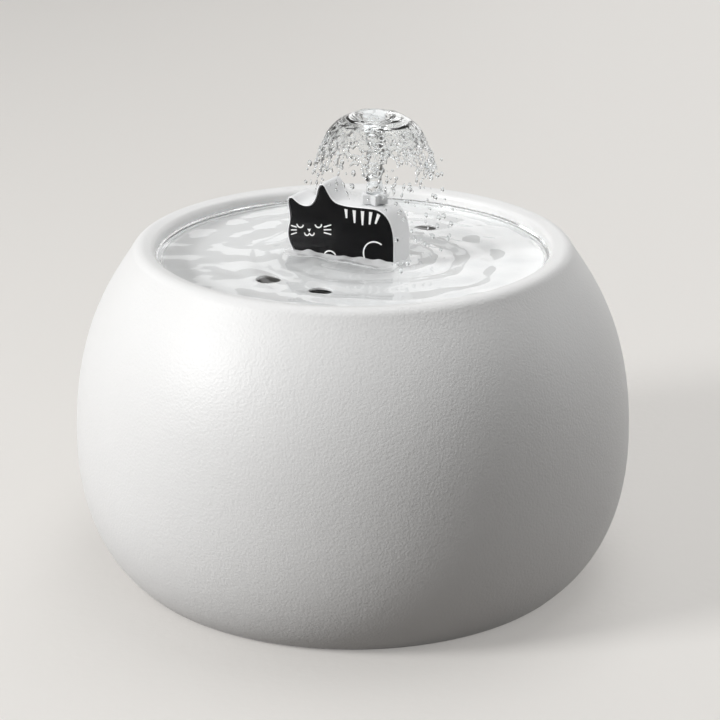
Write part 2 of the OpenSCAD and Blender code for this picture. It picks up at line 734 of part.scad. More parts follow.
// Spout
module cat_hollow(c) {
    round_box([-30 + c, 1.6 + c], [-8, 19.5 - c], 3);
    round_box([-17.5 + c, 1.6 + c], [9.5 - c, 14], 2);
    round_box([-17.5 + c, 8], [1.5, 22.9 - c], 2);
    translate([0.5, 13.9]) circle(r = 9 - c);
}
module spout_shell() color("#e6e8e9") {
    face_y = -cat_t / 2;
    at_spout() {
        difference() {
            slab_y(face_y, cat_t / 2) polygon(cat_outline);
            slab_y(face_y - cut, face_y + face_recess) polygon(inset(cat_outline, rim_w));
            slab_y(face_y + face_recess + shell_t, cat_t / 2 + cut) cat_hollow(0);
            translate([0, 0, -cut]) cylinder(r = stem_r + fit, h = 2 * cat_back_h);
        }
        for (p = posts)
            translate([p.x, face_y + face_recess + shell_t - 0.1, p.y]) rotate([-90, 0, 0])
                pipe(post_r + 1.2, post_r + fit, 5);
        for (x = pin_xs) translate([x, 0, -pin_l]) cylinder(r = pin_r, h = pin_l + 0.5, $fn = 48);
    }
}
module spout_back() color("#e6e8e9") {
    back_t = 1.5;
    at_spout() {
        slab_y(cat_t / 2 - back_t, cat_t / 2) cat_hollow(snug);
        for (p = posts)
            translate([p.x, -cat_t / 2 + face_recess + shell_t + 2, p.y]) rotate([-90, 0, 0])
                cylinder(r = post_r, h = cat_t - face_recess - shell_t - back_t - 1.5);
    }
}
module face_plate() color("#101112") {
    back = -cat_t / 2 + face_recess;
    at_spout() slab_y(back - face_t, back) polygon(inset(cat_outline, rim_w + snug));
}

// Markings: strokes with round ends
module stroke(a, b, w) {
    turn = atan2(b.y - a.y, b.x - a.x);
    translate(a) rotate([0, 0, turn]) {
        translate([0, -w / 2]) square([norm(b - a), w]);
        circle(d = w, $fn = 24);
        translate([norm(b - a), 0]) circle(d = w, $fn = 24);
    }
}
module arc_stroke(c, r, w, from, to) {
    translate(c) {
        intersection() {
            difference() {
                circle(r = r + w / 2, $fn = 48);
                circle(r = r - w / 2, $fn = 48);
            }
            polygon(concat([[0, 0]], [for (i = [0 : 6]) let (a = from + (to - from) * i / 6)
                1.2 * (r + w) * [cos(a), sin(a)]]));
        }
        for (a = [from, to]) translate(r * [cos(a), sin(a)]) circle(d = w, $fn = 24);
    }
}
module tapered_stripe(p, turn, l) {
    translate(p) rotate([0, 0, turn]) {
        polygon([[-0.75, 1], [0.75, 1], [0.35, -l], [-0.35, -l]]);
        translate([0, -l]) circle(r = 0.35, $fn = 24);
    }
}
module face_markings() color("white") {
    front = -cat_t / 2 + face_recess - face_t;
    at_spout() slab_y(front - mark_t, front) {
        arc_stroke([-27.7, 14.9], 1.35, 0.5, 195, 345);
        arc_stroke([-20.1, 15.9], 1.35, 0.5, 205, 355);
        polygon([[-24.7, 13.4], [-23.2, 13.6], [-23.8, 12.3]]);
        arc_stroke([-24.9, 11.8], 0.95, 0.45, 190, 350);
        arc_stroke([-22.8, 12.1], 0.95, 0.45, 200, 360);
        for (k = [-1 : 1]) stroke([-31.4, 12.1 + 1.7 * k], [-29.3, 12.4 + 1.1 * k], 0.45);
        for (k = [-1 : 1]) stroke([-17.6, 14 + 1.1 * k], [-14.9, 14.4 + 1.8 * k], 0.45);
        intersection() {
            polygon(inset(cat_outline, rim_w + 0.7));
            union() {
                tapered_stripe([-8.6, 23.6], 4, 3.6);
                tapered_stripe([-5.2, 23.4], 2, 4.8);
                tapered_stripe([-1.8, 23.6], 0, 5.4);
                tapered_stripe([1.6, 23.6], -6, 4.8);
                tapered_stripe([4.8, 22.8], -20, 3.6);
            }
        }
        arc_stroke([3.4, 7.4], 4.8, 0.5, 60, 205);
        arc_stroke([-15.2, 3.6], 2.6, 0.5, 35, 150);
    }
}
module spout_stem() color("#dfe3e6") {
    at_spout() rotate_extrude() difference() {
        union() {
            translate([stem_bore_r, -plug_l]) square([plug_r - stem_bore_r, plug_l]);
            translate([stem_bore_r, -1]) square([stem_r - stem_bore_r, stem_top + 1]);
        }
        translate([stem_bore_r - 1, stem_top - nozzle_spigot_l - 0.4])
            square([nozzle_seat_r - stem_bore_r + 1, stem_top]);
        translate([plug_r - 1.5, seal_z - seal_minor]) square([3, 2 * seal_minor]);
    }
}
module stem_seal() color("#404244") {
    at_spout() translate([0, 0, seal_z]) rotate_extrude()
        translate([plug_r - 1.5 + seal_minor, 0]) circle(r = seal_minor, $fn = 32);
}

// Nozzle and the water that leaves it
function star(n, r_out, r_in) = [for (i = [0 : 2 * n - 1])
    (i % 2 == 0 ? r_out : r_in) * [cos(180 * i / n), sin(180 * i / n)]];
module nozzle() color("#9da1a5") {
    at_spout() translate([0, 0, stem_top]) difference() {
        union() {
            linear_extrude(star_h) polygon(star(star_points, star_r, star_in_r));
            translate([0, 0, -nozzle_spigot_l]) cylinder(r = nozzle_spigot_r, h = nozzle_spigot_l + 1);
        }
        translate([0, 0, -nozzle_spigot_l - cut]) cylinder(r = nozzle_bore_r, h = 20);
        translate([0, 0, star_h - crown_depth]) cylinder(r = crown_r, h = 2 * crown_depth);
    }
}
module water_jet() color("#d8ecf4") {
    foot = stem_top + star_h - crown_depth;
    top = stem_top + star_h + jet_h;
    at_spout() rotate_extrude() polygon([[0, foot], [jet_r, foot], [jet_r, top - 14],
        [jet_r + 1.8, top - 8.5], [dome_r * 0.5, top - 5], [dome_r * 0.82, top - 11.5],
        [dome_r - 1, top - 21], [dome_r, top - 21], [dome_r * 0.88, top - 10.5],
        [dome_r * 0.55, top - 2.6], [dome_r * 0.25, top - 0.3], [0, top]]);
}

bowl();
foot_pads();
inlet_body();
inlet_seal();
inlet_nut();
inlet_contacts();
pump_lead();
lead_grommet();
suction_cups();
pump_box();
pump_housing();
stator_core();
stator_coil();
pump_board();
pump_potting();
rotor_magnet();
impeller();
pump_shaft();
rear_bush();
front_bush();
impeller_cover();
flow_slider();
foam_block();
box_lid();
filter_frame();
filter_pad();
riser_tube();
riser_seal();
tray();
tray_gasket();
spout_shell();
spout_back();
face_plate();
face_markings();
spout_stem();
stem_seal();
nozzle();
water_jet();
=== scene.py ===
# %% [markdown]
# # A pet water fountain, from clay bowl to falling water
#
# The fountain is a round ceramic bowl with a pump box on its floor. A white tray drops into its
# mouth, a small cat-shaped spout stands on the tray, and the water leaves a star-shaped nozzle on
# the cat's back, opens into a dome and falls back into the pool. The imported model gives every
# piece's place. This lesson models each one again with its true curves, and gives it its finish.

# %% The frame that everything is built around
import json
import math
import random

import bpy
from mathutils import Matrix, Vector, noise

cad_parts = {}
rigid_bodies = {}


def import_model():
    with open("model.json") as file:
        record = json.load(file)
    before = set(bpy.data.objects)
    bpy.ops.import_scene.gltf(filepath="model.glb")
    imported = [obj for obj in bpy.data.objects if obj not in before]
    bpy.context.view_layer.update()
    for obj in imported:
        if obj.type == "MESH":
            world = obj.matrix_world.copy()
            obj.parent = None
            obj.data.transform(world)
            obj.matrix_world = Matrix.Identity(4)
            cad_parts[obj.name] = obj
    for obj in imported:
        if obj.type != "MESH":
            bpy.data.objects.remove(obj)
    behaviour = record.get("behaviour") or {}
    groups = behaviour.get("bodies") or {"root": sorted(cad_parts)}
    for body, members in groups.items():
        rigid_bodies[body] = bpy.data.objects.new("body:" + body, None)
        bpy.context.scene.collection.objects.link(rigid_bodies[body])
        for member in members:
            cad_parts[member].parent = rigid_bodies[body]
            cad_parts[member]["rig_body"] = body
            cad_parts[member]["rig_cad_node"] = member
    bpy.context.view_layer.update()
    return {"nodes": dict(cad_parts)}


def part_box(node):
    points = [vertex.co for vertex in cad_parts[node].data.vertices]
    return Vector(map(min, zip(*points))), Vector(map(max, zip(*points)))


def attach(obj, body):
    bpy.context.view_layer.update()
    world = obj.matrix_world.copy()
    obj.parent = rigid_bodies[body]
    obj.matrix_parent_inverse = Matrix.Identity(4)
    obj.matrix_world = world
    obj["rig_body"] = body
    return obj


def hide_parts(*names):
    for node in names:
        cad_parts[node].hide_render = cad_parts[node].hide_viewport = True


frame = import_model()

MM = 0.001
nodes = frame["nodes"]

# %% [markdown]
# ## The camera
#
# A long lens from a little above the rim shows the belly of the bowl, the far edge of the pool
# and the water against the background. A long lens keeps the bowl's round shape calm, where a
# short one would swell its front. The camera is made first, because it decides what shows.

# %% Camera
bpy.ops.object.select_all(action="DESELECT")
bpy.ops.object.camera_add(location=(0, -0.7415, 0.3513),
                          rotation=(math.radians(69.73), 0, -0.0036))
camera = bpy.context.object
camera.name = "view_camera"
camera.data.lens = 104.22
camera.data.sensor_width = 36
camera.data.clip_start = 0.01
bpy.context.scene.camera = camera
bpy.context.scene.view_settings.view_transform = "Standard"
print("camera", round(camera.data.lens, 1), "mm lens")

# %% [markdown]
# ## Floor, light and surroundings
#
# A plain pale floor catches the shadow, and one broad lamp high on the left draws the form, with
# the bowl's lower right side falling into soft shade. Water has no colour of its own: it shows
# what stands around it, bent. A photographer lays dark sheets of fabric left and right of it, which give
# every drop its thin dark edge. Here no such sheets stand: the floor is painted dark left and right,
# but only for what is seen through the water, as painted dark edges, and the floor itself stays
# pale. The floor adds a little light of its own for the camera, for reflections and for what is seen
# through water, so it looks even, and it still darkens under the bowl.

# %% Helpers for picking and finishing objects
def clear_selection():
    """Leaves edit mode and deselects everything, so that the next operator acts on its piece alone."""
    if bpy.context.object and bpy.context.object.mode != "OBJECT":
        bpy.ops.object.mode_set(mode="OBJECT")
    bpy.ops.object.select_all(action="DESELECT")


def take(*pieces):
    """Selects these pieces and nothing else. The last one is the active one."""
    clear_selection()
    for piece in pieces:
        piece.select_set(True)
    bpy.context.view_layer.objects.active = pieces[-1]
    return pieces[-1]


def place_fixed(piece, move=(0, 0, 0), turn=0.0):
    """Turns a piece about Z, moves it, and writes its place into its mesh."""
    take(piece)
    piece.rotation_euler = (piece.rotation_euler.x, piece.rotation_euler.y,
                            piece.rotation_euler.z + turn)
    piece.location = Vector(piece.location) + Vector(move)
    bpy.ops.object.transform_apply(location=True, rotation=True, scale=True)
    return piece


# %% Shader maths as Python sums
class Wire:
    """One output of a node, which can be added, multiplied and compared like a number."""

    def __init__(self, finish, socket):
        self.finish, self.socket = finish, socket

    def _math(self, operation, a, b=None, clamp=False):
        values = {0: a} if b is None else {0: a, 1: b}
        settings = {"operation": operation, "use_clamp": clamp}
        return self.finish.node("ShaderNodeMath", settings, values)

    def __add__(self, other): return self._math("ADD", self, other)
    def __radd__(self, other): return self._math("ADD", other, self)
    def __sub__(self, other): return self._math("SUBTRACT", self, other)
    def __rsub__(self, other): return self._math("SUBTRACT", other, self)
    def __mul__(self, other): return self._math("MULTIPLY", self, other)
    def __rmul__(self, other): return self._math("MULTIPLY", other, self)
    def __truediv__(self, other): return self._math("DIVIDE", self, other)
    def __pow__(self, other): return self._math("POWER", self, other)
    def __abs__(self): return self._math("ABSOLUTE", self)
    def sine(self): return self._math("SINE", self)
    def larger(self, other): return self._math("MAXIMUM", self, other)
    def smaller(self, other): return self._math("MINIMUM", self, other)

    def step(self, low, high, start=0.0, end=1.0):
        """Runs smoothly from start to end while this value goes from low to high."""
        settings = {"interpolation_type": "SMOOTHSTEP", "clamp": True}
        values = {"Value": self, "From Min": low, "From Max": high, "To Min": start, "To Max": end}
        return self.finish.node("ShaderNodeMapRange", settings, values)


class Finish:
    """A material that is built node by node and ends in one surface shader."""

    def __init__(self, name):
        self.material = bpy.data.materials.new(name)
        self.material.use_nodes = True
        self.tree = self.material.node_tree
        self.tree.nodes.clear()
        self.sheet = self.tree.nodes.new("ShaderNodeOutputMaterial")

    def node(self, kind, settings=None, values=None, output=0):
        """Adds a node. Its settings are set first, then its sockets get values or links."""
        new = self.tree.nodes.new(kind)
        for key, value in (settings or {}).items():
            setattr(new, key, value)
        for key, value in (values or {}).items():
            if isinstance(value, Wire):
                self.tree.links.new(value.socket, new.inputs[key])
            else:
                new.inputs[key].default_value = value
        return Wire(self, new.outputs[output])

    def place(self, stretch=(1, 1, 1), turn=(0, 0, 0)):
        """Object coordinates, stretched or turned."""
        here = self.node("ShaderNodeTexCoord", output="Object")
        if stretch == (1, 1, 1) and turn == (0, 0, 0):
            return here
        return self.node("ShaderNodeMapping", {}, {"Vector": here, "Scale": stretch, "Rotation": turn})

    def axes(self, vector=None):
        """The x, y and z of a vector as three wires."""
        parts = self.node("ShaderNodeSeparateXYZ", {}, {0: vector or self.place()})
        return [Wire(self, parts.socket.node.outputs[i]) for i in range(3)]

    def grain(self, size, vector=None, detail=2.0, rough=0.5, warp=0.0):
        """Cloudy noise from 0 to 1 whose spots are about size metres across."""
        values = {"Vector": vector or self.place(), "Scale": 1 / size, "Detail": detail,
                  "Roughness": rough, "Distortion": warp}
        return self.node("ShaderNodeTexNoise", {}, values)

    def cells(self, size, feature="F1", vector=None, output="Distance"):
        """The distance to the nearest of many scattered points, about size metres apart."""
        values = {"Vector": vector or self.place(), "Scale": 1 / size}
        return self.node("ShaderNodeTexVoronoi", {"feature": feature}, values, output)

    def blend(self, share, first, second):
        """A colour between two colours."""
        mix = self.tree.nodes.new("ShaderNodeMix")
        mix.data_type = "RGBA"
        for slot, value in ((0, share), (6, first), (7, second)):
            if isinstance(value, Wire):
                self.tree.links.new(value.socket, mix.inputs[slot])
            elif slot:
                mix.inputs[slot].default_value = (*value, 1)
            else:
                mix.inputs[slot].default_value = value
        return Wire(self, mix.outputs[2])

    def relief(self, height, depth, after=None):
        """A normal from a height in 0 to 1, depth metres deep."""
        values = {"Height": height, "Distance": depth, "Strength": 1.0}
        if after:
            values["Normal"] = after
        return self.node("ShaderNodeBump", {}, values)

    def rays(self):
        """What kind of ray arrives, as the outputs of a Light Path node."""
        return self.node("ShaderNodeLightPath").socket.node.outputs

    def looked_at(self):
        """1 where the camera looks straight on, by a reflection, or through something clear."""
        rays = self.rays()
        straight, mirrored = Wire(self, rays["Is Camera Ray"]), Wire(self, rays["Is Glossy Ray"])
        return (straight + mirrored + Wire(self, rays["Is Transmission Ray"])).smaller(1.0)

    def skin(self, colour, rough, **more):
        """The surface shader itself."""
        values = {"Base Color": colour if isinstance(colour, Wire) else (*colour, 1), "Roughness": rough}
        values.update({key.replace("_", " "): value for key, value in more.items()})
        return self.node("ShaderNodeBsdfPrincipled", {}, values)

    def done(self, surface):
        self.tree.links.new(surface.socket, self.sheet.inputs["Surface"])
        return self.material


# %% Floor
FLOOR_TINT = (0.74, 0.72, 0.69)
FLOOR_BOUNCE = (0.07, 0.058, 0.049)
FLOOR_SEEN = (0.86, 0.835, 0.805)
FLOOR_GLOW = 0.32
# Colour of the painted dark edges that the water shows; no fabric lies on the floor
WATER_EDGE_DARK = (0.05, 0.047, 0.044)


def floor_finish():
    floor = Finish("floor_matte")
    seen = floor.looked_at()
    x, y, z = floor.axes()
    # Painted dark edges: the floor turns dark left and right only for rays seen through water
    water_edge_dark = (0 - x).step(0.14, 0.2) + x.step(0.2, 0.3) * 0.8
    water_edge_dark = water_edge_dark * Wire(floor, floor.rays()["Is Transmission Ray"])
    tint = floor.blend(water_edge_dark, floor.blend(seen, FLOOR_BOUNCE, FLOOR_TINT), WATER_EDGE_DARK)
    own = floor.skin(tint, 0.6, Normal=floor.relief(floor.grain(0.004), 0.0001))
    glow = floor.node("ShaderNodeEmission", {}, {"Color": (*FLOOR_SEEN, 1), "Strength": 1.0})
    mix = floor.node("ShaderNodeMixShader", {}, {0: seen * (1 - water_edge_dark) * FLOOR_GLOW, 1: own, 2: glow})
    return floor.done(mix)


def studio_floor():
    """A floor that turns up into a wall far behind, as a roll of paper does."""
    clear_selection()
    bpy.ops.mesh.primitive_plane_add(size=1, location=(0, 1.5, 0))
    sweep = bpy.context.object
    sweep.name = "studio_floor"
    sweep.scale = (9, 7, 1)
    bpy.ops.object.transform_apply(location=True, rotation=True, scale=True)
    bpy.ops.object.mode_set(mode="EDIT")
    bpy.ops.mesh.select_mode(type="EDGE")
    bpy.ops.mesh.select_all(action="DESELECT")
    bpy.ops.object.mode_set(mode="OBJECT")
    far = max(v.co.y for v in sweep.data.vertices)
    for edge in sweep.data.edges:
        edge.select = all(sweep.data.vertices[v].co.y > far - 0.01 for v in edge.vertices)
    bpy.ops.object.mode_set(mode="EDIT")
    bpy.ops.mesh.extrude_region_move(TRANSFORM_OT_translate={"value": (0, 0, 4)})
    bpy.ops.object.mode_set(mode="OBJECT")
    bend = sweep.modifiers.new("bend", "BEVEL")
    bend.width = 1.5
    bend.segments = 16
    bpy.ops.object.modifier_apply(modifier="bend")
    bpy.ops.object.shade_smooth()
    sweep.data.materials.append(floor_finish())
    return sweep


studio_floor()
print("floor tint", FLOOR_TINT)


# %% Lamps and surroundings
def area_lamp(name, place, aim, size, power, colour=(1, 1, 1)):
    """A square soft lamp that looks at a point."""
    clear_selection()
    turn = (Vector(aim) - Vector(place)).to_track_quat("-Z", "Y").to_euler()
    bpy.ops.object.light_add(type="AREA", location=place, rotation=turn)
    lamp = bpy.context.object
    lamp.name = name
    lamp.data.shape = "SQUARE"
    lamp.data.size = size
    lamp.data.energy = power
    lamp.data.color = colour
    return lamp


ROOM_SEEN = (0.76, 0.745, 0.72)


def surroundings(level, side_level):
    """An even room. Reflections find it pale, with dark walls left and right near the floor."""
    world = bpy.data.worlds.new("studio")
    bpy.context.scene.world = world
    world.use_nodes = True
    tree = world.node_tree
    tree.nodes.clear()
    sides = Finish.__new__(Finish)
    sides.tree = tree
    way = sides.node("ShaderNodeTexCoord", output="Generated")
    x, y, z = sides.axes(way)
    dark = abs(x).step(0.55, 0.8) * z.step(0.45, 0.2)
    straight = Wire(sides, sides.rays()["Is Camera Ray"])
    room = sides.blend(dark * (1 - straight), ROOM_SEEN, (side_level, side_level, side_level))
    shade = sides.blend(sides.looked_at(), (level, level, level), room)
    back = sides.node("ShaderNodeBackground", {}, {"Color": shade, "Strength": 1.0})
    out = tree.nodes.new("ShaderNodeOutputWorld")
    tree.links.new(back.socket, out.inputs["Surface"])


MIDDLE = (0, 0, 0.08)
area_lamp("key_lamp", (-1.24, -0.55, 0.75), MIDDLE, 0.38, 18.4)
area_lamp("top_lamp", (0.25, 0.3, 1.5), MIDDLE, 0.9, 6)
area_lamp("back_lamp", (-0.15, 1.5, 0.76), MIDDLE, 0.26, 0.22)
area_lamp("right_back_lamp", (0.6, 1.4, 0.75), MIDDLE, 1.15, 5)
area_lamp("right_lamp", (1.35, 0.25, 0.45), MIDDLE, 0.8, 2.8)
surroundings(0.27, 0.05)
print("lamps set")

# %% [markdown]
# ## Drawing tools for the pieces
#
# Most of the pieces are turned on a wheel or a lathe, or pressed and moulded from a flat outline.
# So two tools do most of the work: one spins a drawn section round an axis, and one pulls a drawn
# outline into a thick plate. A section is drawn as a poly curve from corners with fillets and from
# smooth curves with handles, because those are the lines that a potter's template and a mould
# maker's drawing hold.


# %% Points of fillets and curves
def curve_line(curve, count, shift=0.0):
    """Points along a curve given by its two ends and two handles, moved to its left by shift."""
    a, b, c, d = (Vector(p) for p in curve)
    line = []
    for i in range(count + 1):
        t = i / count
        at = (1 - t) ** 3 * a + 3 * t * (1 - t) ** 2 * b + 3 * t * t * (1 - t) * c + t ** 3 * d
        way = (1 - t) ** 2 * (b - a) + 2 * t * (1 - t) * (c - b) + t * t * (d - c)
        way.normalize()
        line.append(at + shift * Vector((-way.y, way.x)))
    return line


def rounded(corners, steps=6):
    """A line through (x, z, radius) corners, each turned into an arc of that radius."""
    line = []
    last = len(corners) - 1
    for i, (x, z, radius) in enumerate(corners):
        here = Vector((x, z))
        if not radius or i in (0, last):
            line.append(here)
            continue
        back = (Vector(corners[i - 1][:2]) - here)
        on = (Vector(corners[i + 1][:2]) - here)
        half = back.angle(on) / 2
        reach = min(radius / math.tan(half), 0.49 * back.length, 0.49 * on.length)
        start, end = here + back.normalized() * reach, here + on.normalized() * reach
        bulge = 4 / 3 * math.tan((math.pi - 2 * half) / 4) * math.tan(half)
        arc = (start, start + (here - start) * bulge, end + (here - end) * bulge, end)
        line += curve_line(arc, steps)
    return line


def closed_rounded(corners, steps=6):
    """The same for a closed outline."""
    ring = [corners[-1]] + corners + [corners[0]]
    return rounded(ring, steps)[1:-1]


def arc_line(centre, radius, start, end, count):
    """Points on an arc, with its angles in degrees."""
    line = []
    for i in range(count + 1):
        turn = math.radians(start + (end - start) * i / count)
        line.append(Vector((centre[0] + radius * math.cos(turn), centre[1] + radius * math.sin(turn))))
    return line


# %% Drawing a line, spinning it, and pulling an outline
def draw(points, closed=False):
    """An upright line of edges through (x, z) points in millimetres, at y = 0."""
    clear_selection()
    bpy.ops.curve.primitive_bezier_curve_add()
    curve = bpy.context.object
    curve.data.splines.clear()
    spline = curve.data.splines.new("POLY")
    spline.points.add(len(points) - 1)
    for dot, point in zip(spline.points, points):
        dot.co = (point[0] * MM, 0, point[1] * MM, 1)
    spline.use_cyclic_u = closed
    bpy.ops.object.convert(target="MESH")
    return bpy.context.object


def tidy_mesh(near=0.002):
    """In edit mode: merges points that meet and turns all faces outwards."""
    bpy.ops.mesh.select_all(action="SELECT")
    bpy.ops.mesh.remove_doubles(threshold=near * MM)
    bpy.ops.mesh.normals_make_consistent(inside=False)


def turned(name, points, steps=96, closed=False):
    """A solid of revolution about Z, spun from a section of (radius, height) points."""
    piece = draw(points, closed)
    piece.name = name
    bpy.ops.object.mode_set(mode="EDIT")
    bpy.ops.mesh.select_all(action="SELECT")
    bpy.ops.mesh.spin(steps=steps, angle=2 * math.pi, center=(0, 0, 0), axis=(0, 0, 1))
    tidy_mesh()
    bpy.ops.object.mode_set(mode="OBJECT")
    return piece


def pulled(name, points, front, back):
    """A plate with the outline (x, z), from y = front to y = back, in millimetres."""
    piece = draw(points, True)
    piece.name = name
    bpy.ops.object.mode_set(mode="EDIT")
    bpy.ops.mesh.select_all(action="SELECT")
    bpy.ops.mesh.edge_face_add()
    bpy.ops.transform.translate(value=(0, front * MM, 0))
    bpy.ops.mesh.extrude_region_move(TRANSFORM_OT_translate={"value": (0, (back - front) * MM, 0)})
    tidy_mesh()
    bpy.ops.object.mode_set(mode="OBJECT")
    return piece


def lying(piece):
    """Lays an upright plate down, so that its pull along y becomes one along z."""
    take(piece)
    piece.rotation_euler = (math.pi / 2, 0, 0)
    bpy.ops.object.transform_apply(location=True, rotation=True, scale=True)
    return piece


# %% Joining, cutting and rounding edges
def modify(piece, kind, **settings):
    """Adds a modifier and applies it."""
    take(piece)
    step = piece.modifiers.new(kind.lower(), kind)
    for key, value in settings.items():
        setattr(step, key, value)
    bpy.ops.object.modifier_apply(modifier=step.name)
    return piece


def cut(piece, *tools, operation="DIFFERENCE"):
    """Cuts the tools out of a piece, or joins them to it, and throws the tools away."""
    for tool in tools:
        modify(piece, "BOOLEAN", operation=operation, object=tool, solver="EXACT")
        bpy.data.objects.remove(tool)
    return piece


def joined(*pieces):
    """Several pieces as one object."""
    take(*pieces)
    bpy.ops.object.join()
    return bpy.context.object


def soften(piece, width, segments=2, angle=35):
    """Rounds the sharp edges, as a mould or a glaze leaves them."""
    return modify(piece, "BEVEL", width=width * MM, segments=segments, limit_method="ANGLE",
                  angle_limit=math.radians(angle), miter_outer="MITER_ARC", use_clamp_overlap=True)


def settle(piece, name, body, finish, *stands_for, slot=None, angle=35):
    """Names a finished piece, shades it, gives it its finish and hangs it on its body."""
    take(piece)
    bpy.ops.object.transform_apply(location=True, rotation=True, scale=True)
    bpy.ops.object.shade_smooth_by_angle(angle=math.radians(angle))
    piece.name = name
    piece.data.name = name
    piece.data.materials.clear()
    piece.data.materials.append(finish)
    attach(piece, body)
    if stands_for:
        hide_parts(*stands_for)
    print(name, "rides on", body, "with", len(piece.data.polygons), "faces")
    return piece


# %% [markdown]
# ## The bowl
#
# The real bowl is slip-cast stoneware with a matte white glaze. It is round and generous: the
# belly is widest below half height, and the wall runs up into a rolled rim. Inside, a turned-in
# neck carries the tray. Such a bowl could be sculpted, but a potter turns it against a template,
# so here a section is drawn and spun. The outer line is two curves that meet at the belly, and the
# rim is an arc. The inlet's recess, its boss and the shallow seats of the foot pads are cut in
# afterwards, with soft edges where glaze would gather.

# %% Sizes of the bowl
BOWL_STEPS = 240
RIM_Z, BASE_Z, BELLY_Z = 125.0, 1.0, 50.0
BOWL_R, BASE_R, MOUTH_R, WALL = 105.0, 87.8, 73.2, 5.0
BEAD_R = 4.6
BEAD = (MOUTH_R + BEAD_R, RIM_Z - BEAD_R)
LIP_ANGLE, TOP_ANGLE, CORNER_R = 32.0, 100.0, 2.2
LIP_TURN = math.radians(LIP_ANGLE)
LIP = (BEAD[0] + BEAD_R * math.cos(LIP_TURN), BEAD[1] + BEAD_R * math.sin(LIP_TURN))
LEDGE_Z, LEDGE_R, NECK_Z = 109.0, 68.45, 102.0
HOLLOW_R, HOLLOW_TOP = MOUTH_R + 5.0, 111.4
TANK_Z = 6.0
INLET_Z, RECESS_R, RECESS_Y, BOSS_R, BOSS_Y, INLET_HOLE_R = 45.0, 10.5, 101.5, 11.0, 97.5, 5.5
PAD_R, PAD_RING, PAD_SINK = 8.0, 65.0, 0.5
LIP_HANDLE = 13.5
upper_curve = [(BOWL_R, BELLY_Z), (BOWL_R, BELLY_Z + 0.6 * (LIP[1] - BELLY_Z)),
               (LIP[0] + LIP_HANDLE * math.sin(LIP_TURN), LIP[1] - LIP_HANDLE * math.cos(LIP_TURN)), LIP]
lower_curve = [(BASE_R, BASE_Z), (BASE_R + 0.3, BASE_Z + 1),
               (BOWL_R, BELLY_Z - 0.75 * (BELLY_Z - BASE_Z)), (BOWL_R, BELLY_Z)]


# %% Spinning the bowl
def rim_line():
    """Over the rim: a round outer bead, a nearly flat top and a tighter corner to the inside."""
    turn = math.radians(TOP_ANGLE)
    bead = arc_line(BEAD, BEAD_R, LIP_ANGLE, TOP_ANGLE, 16)
    start_x = MOUTH_R + CORNER_R * (1 + math.cos(turn))
    start_z = bead[-1].y - (bead[-1].x - start_x) * math.tan(turn - math.pi / 2)
    corner = (MOUTH_R + CORNER_R, start_z - CORNER_R * math.sin(turn))
    return bead + arc_line(corner, CORNER_R, TOP_ANGLE, 180, 12)


def bowl_section():
    """The wall's section, from the middle of the base outside, over the rim and back inside."""
    outside = curve_line(lower_curve, 34) + curve_line(upper_curve, 56)[1:]
    rim = rim_line()[1:]
    inner_low = [p for p in curve_line(lower_curve, 26, WALL) if p.y > TANK_Z + 4]
    inner_high = [p for p in curve_line(upper_curve, 44, WALL)[1:] if p.y < HOLLOW_TOP - 1.5]
    corner = inner_high[-1]
    neck = rounded([(MOUTH_R, BEAD[1] - 1, 0), (MOUTH_R, LEDGE_Z, 0.8), (LEDGE_R, LEDGE_Z, 1.2),
                    (LEDGE_R, NECK_Z, 2.0), (HOLLOW_R, NECK_Z, 2.0), (HOLLOW_R, HOLLOW_TOP, 1.0),
                    (corner.x - 0.5, HOLLOW_TOP, 1.0), (corner.x, corner.y, 0)], 5)
    inside = neck + list(reversed(inner_low + inner_high))[1:]
    foot = inner_low[0]
    floor = rounded([(foot.x, foot.y, 0), (foot.x - 1.6, TANK_Z + 0.6, 4), (foot.x - 8, TANK_Z, 0)], 6)
    base = rounded([(0, BASE_Z, 0), (BASE_R - 2.5, BASE_Z, 0)])
    return base + outside + rim + inside + floor[1:] + [Vector((0, TANK_Z))]


def pegs(radius, low, high, places, steps=64, flare=0.0):
    """Upright pegs to cut or join with. A flare widens the top end with a round lip."""
    made = []
    for x, y in places:
        line = [(0, low), (radius, low), (radius, high - 2 * flare)]
        if flare:
            line += [(p.x, p.y) for p in arc_line((radius + flare, high - flare), flare, 180, 90, 5)][1:]
        line += [(radius + flare, high + 1), (0, high + 1)]
        peg = turned("peg", line, steps)
        made.append(place_fixed(peg, (x * MM, y * MM, 0)))
    return made


def facing_back(piece, y=0.0, z=0.0, x=0.0):
    """Turns a piece's +Z to +Y and moves it there."""
    take(piece)
    piece.rotation_euler = (-math.pi / 2, 0, 0)
    bpy.ops.object.transform_apply(location=True, rotation=True, scale=True)
    return place_fixed(piece, (x * MM, y * MM, z * MM))


def make_bowl():
    bowl = turned("bowl_ware", bowl_section(), BOWL_STEPS)
    boss = turned("boss", rounded([(0, 0, 0), (BOSS_R, 0, 1.5), (BOSS_R, 4.5, 0), (0, 4.5, 0)]), 72)
    cut(bowl, facing_back(boss, BOSS_Y, INLET_Z), operation="UNION")
    lip = 1.2
    recess = [(0, 0, 0), (RECESS_R, 0, 0.8), (RECESS_R, 1.6, 0.5), (RECESS_R + lip, 4.2, 0),
              (RECESS_R + lip, 12, 0), (0, 12, 0)]
    cut(bowl, facing_back(turned("recess", rounded(recess), 96), RECESS_Y, INLET_Z))
    cut(bowl, facing_back(turned("hole", [(0, -8), (INLET_HOLE_R, -8), (INLET_HOLE_R, 8), (0, 8)], 64),
                          RECESS_Y, INLET_Z))
    seats = [(PAD_RING * math.cos(math.radians(a)), PAD_RING * math.sin(math.radians(a)))
             for a in (45, 135, 225, 315)]
    cut(bowl, *pegs(PAD_R, -3, BASE_Z + PAD_SINK - 1, seats, 64))
    return bowl


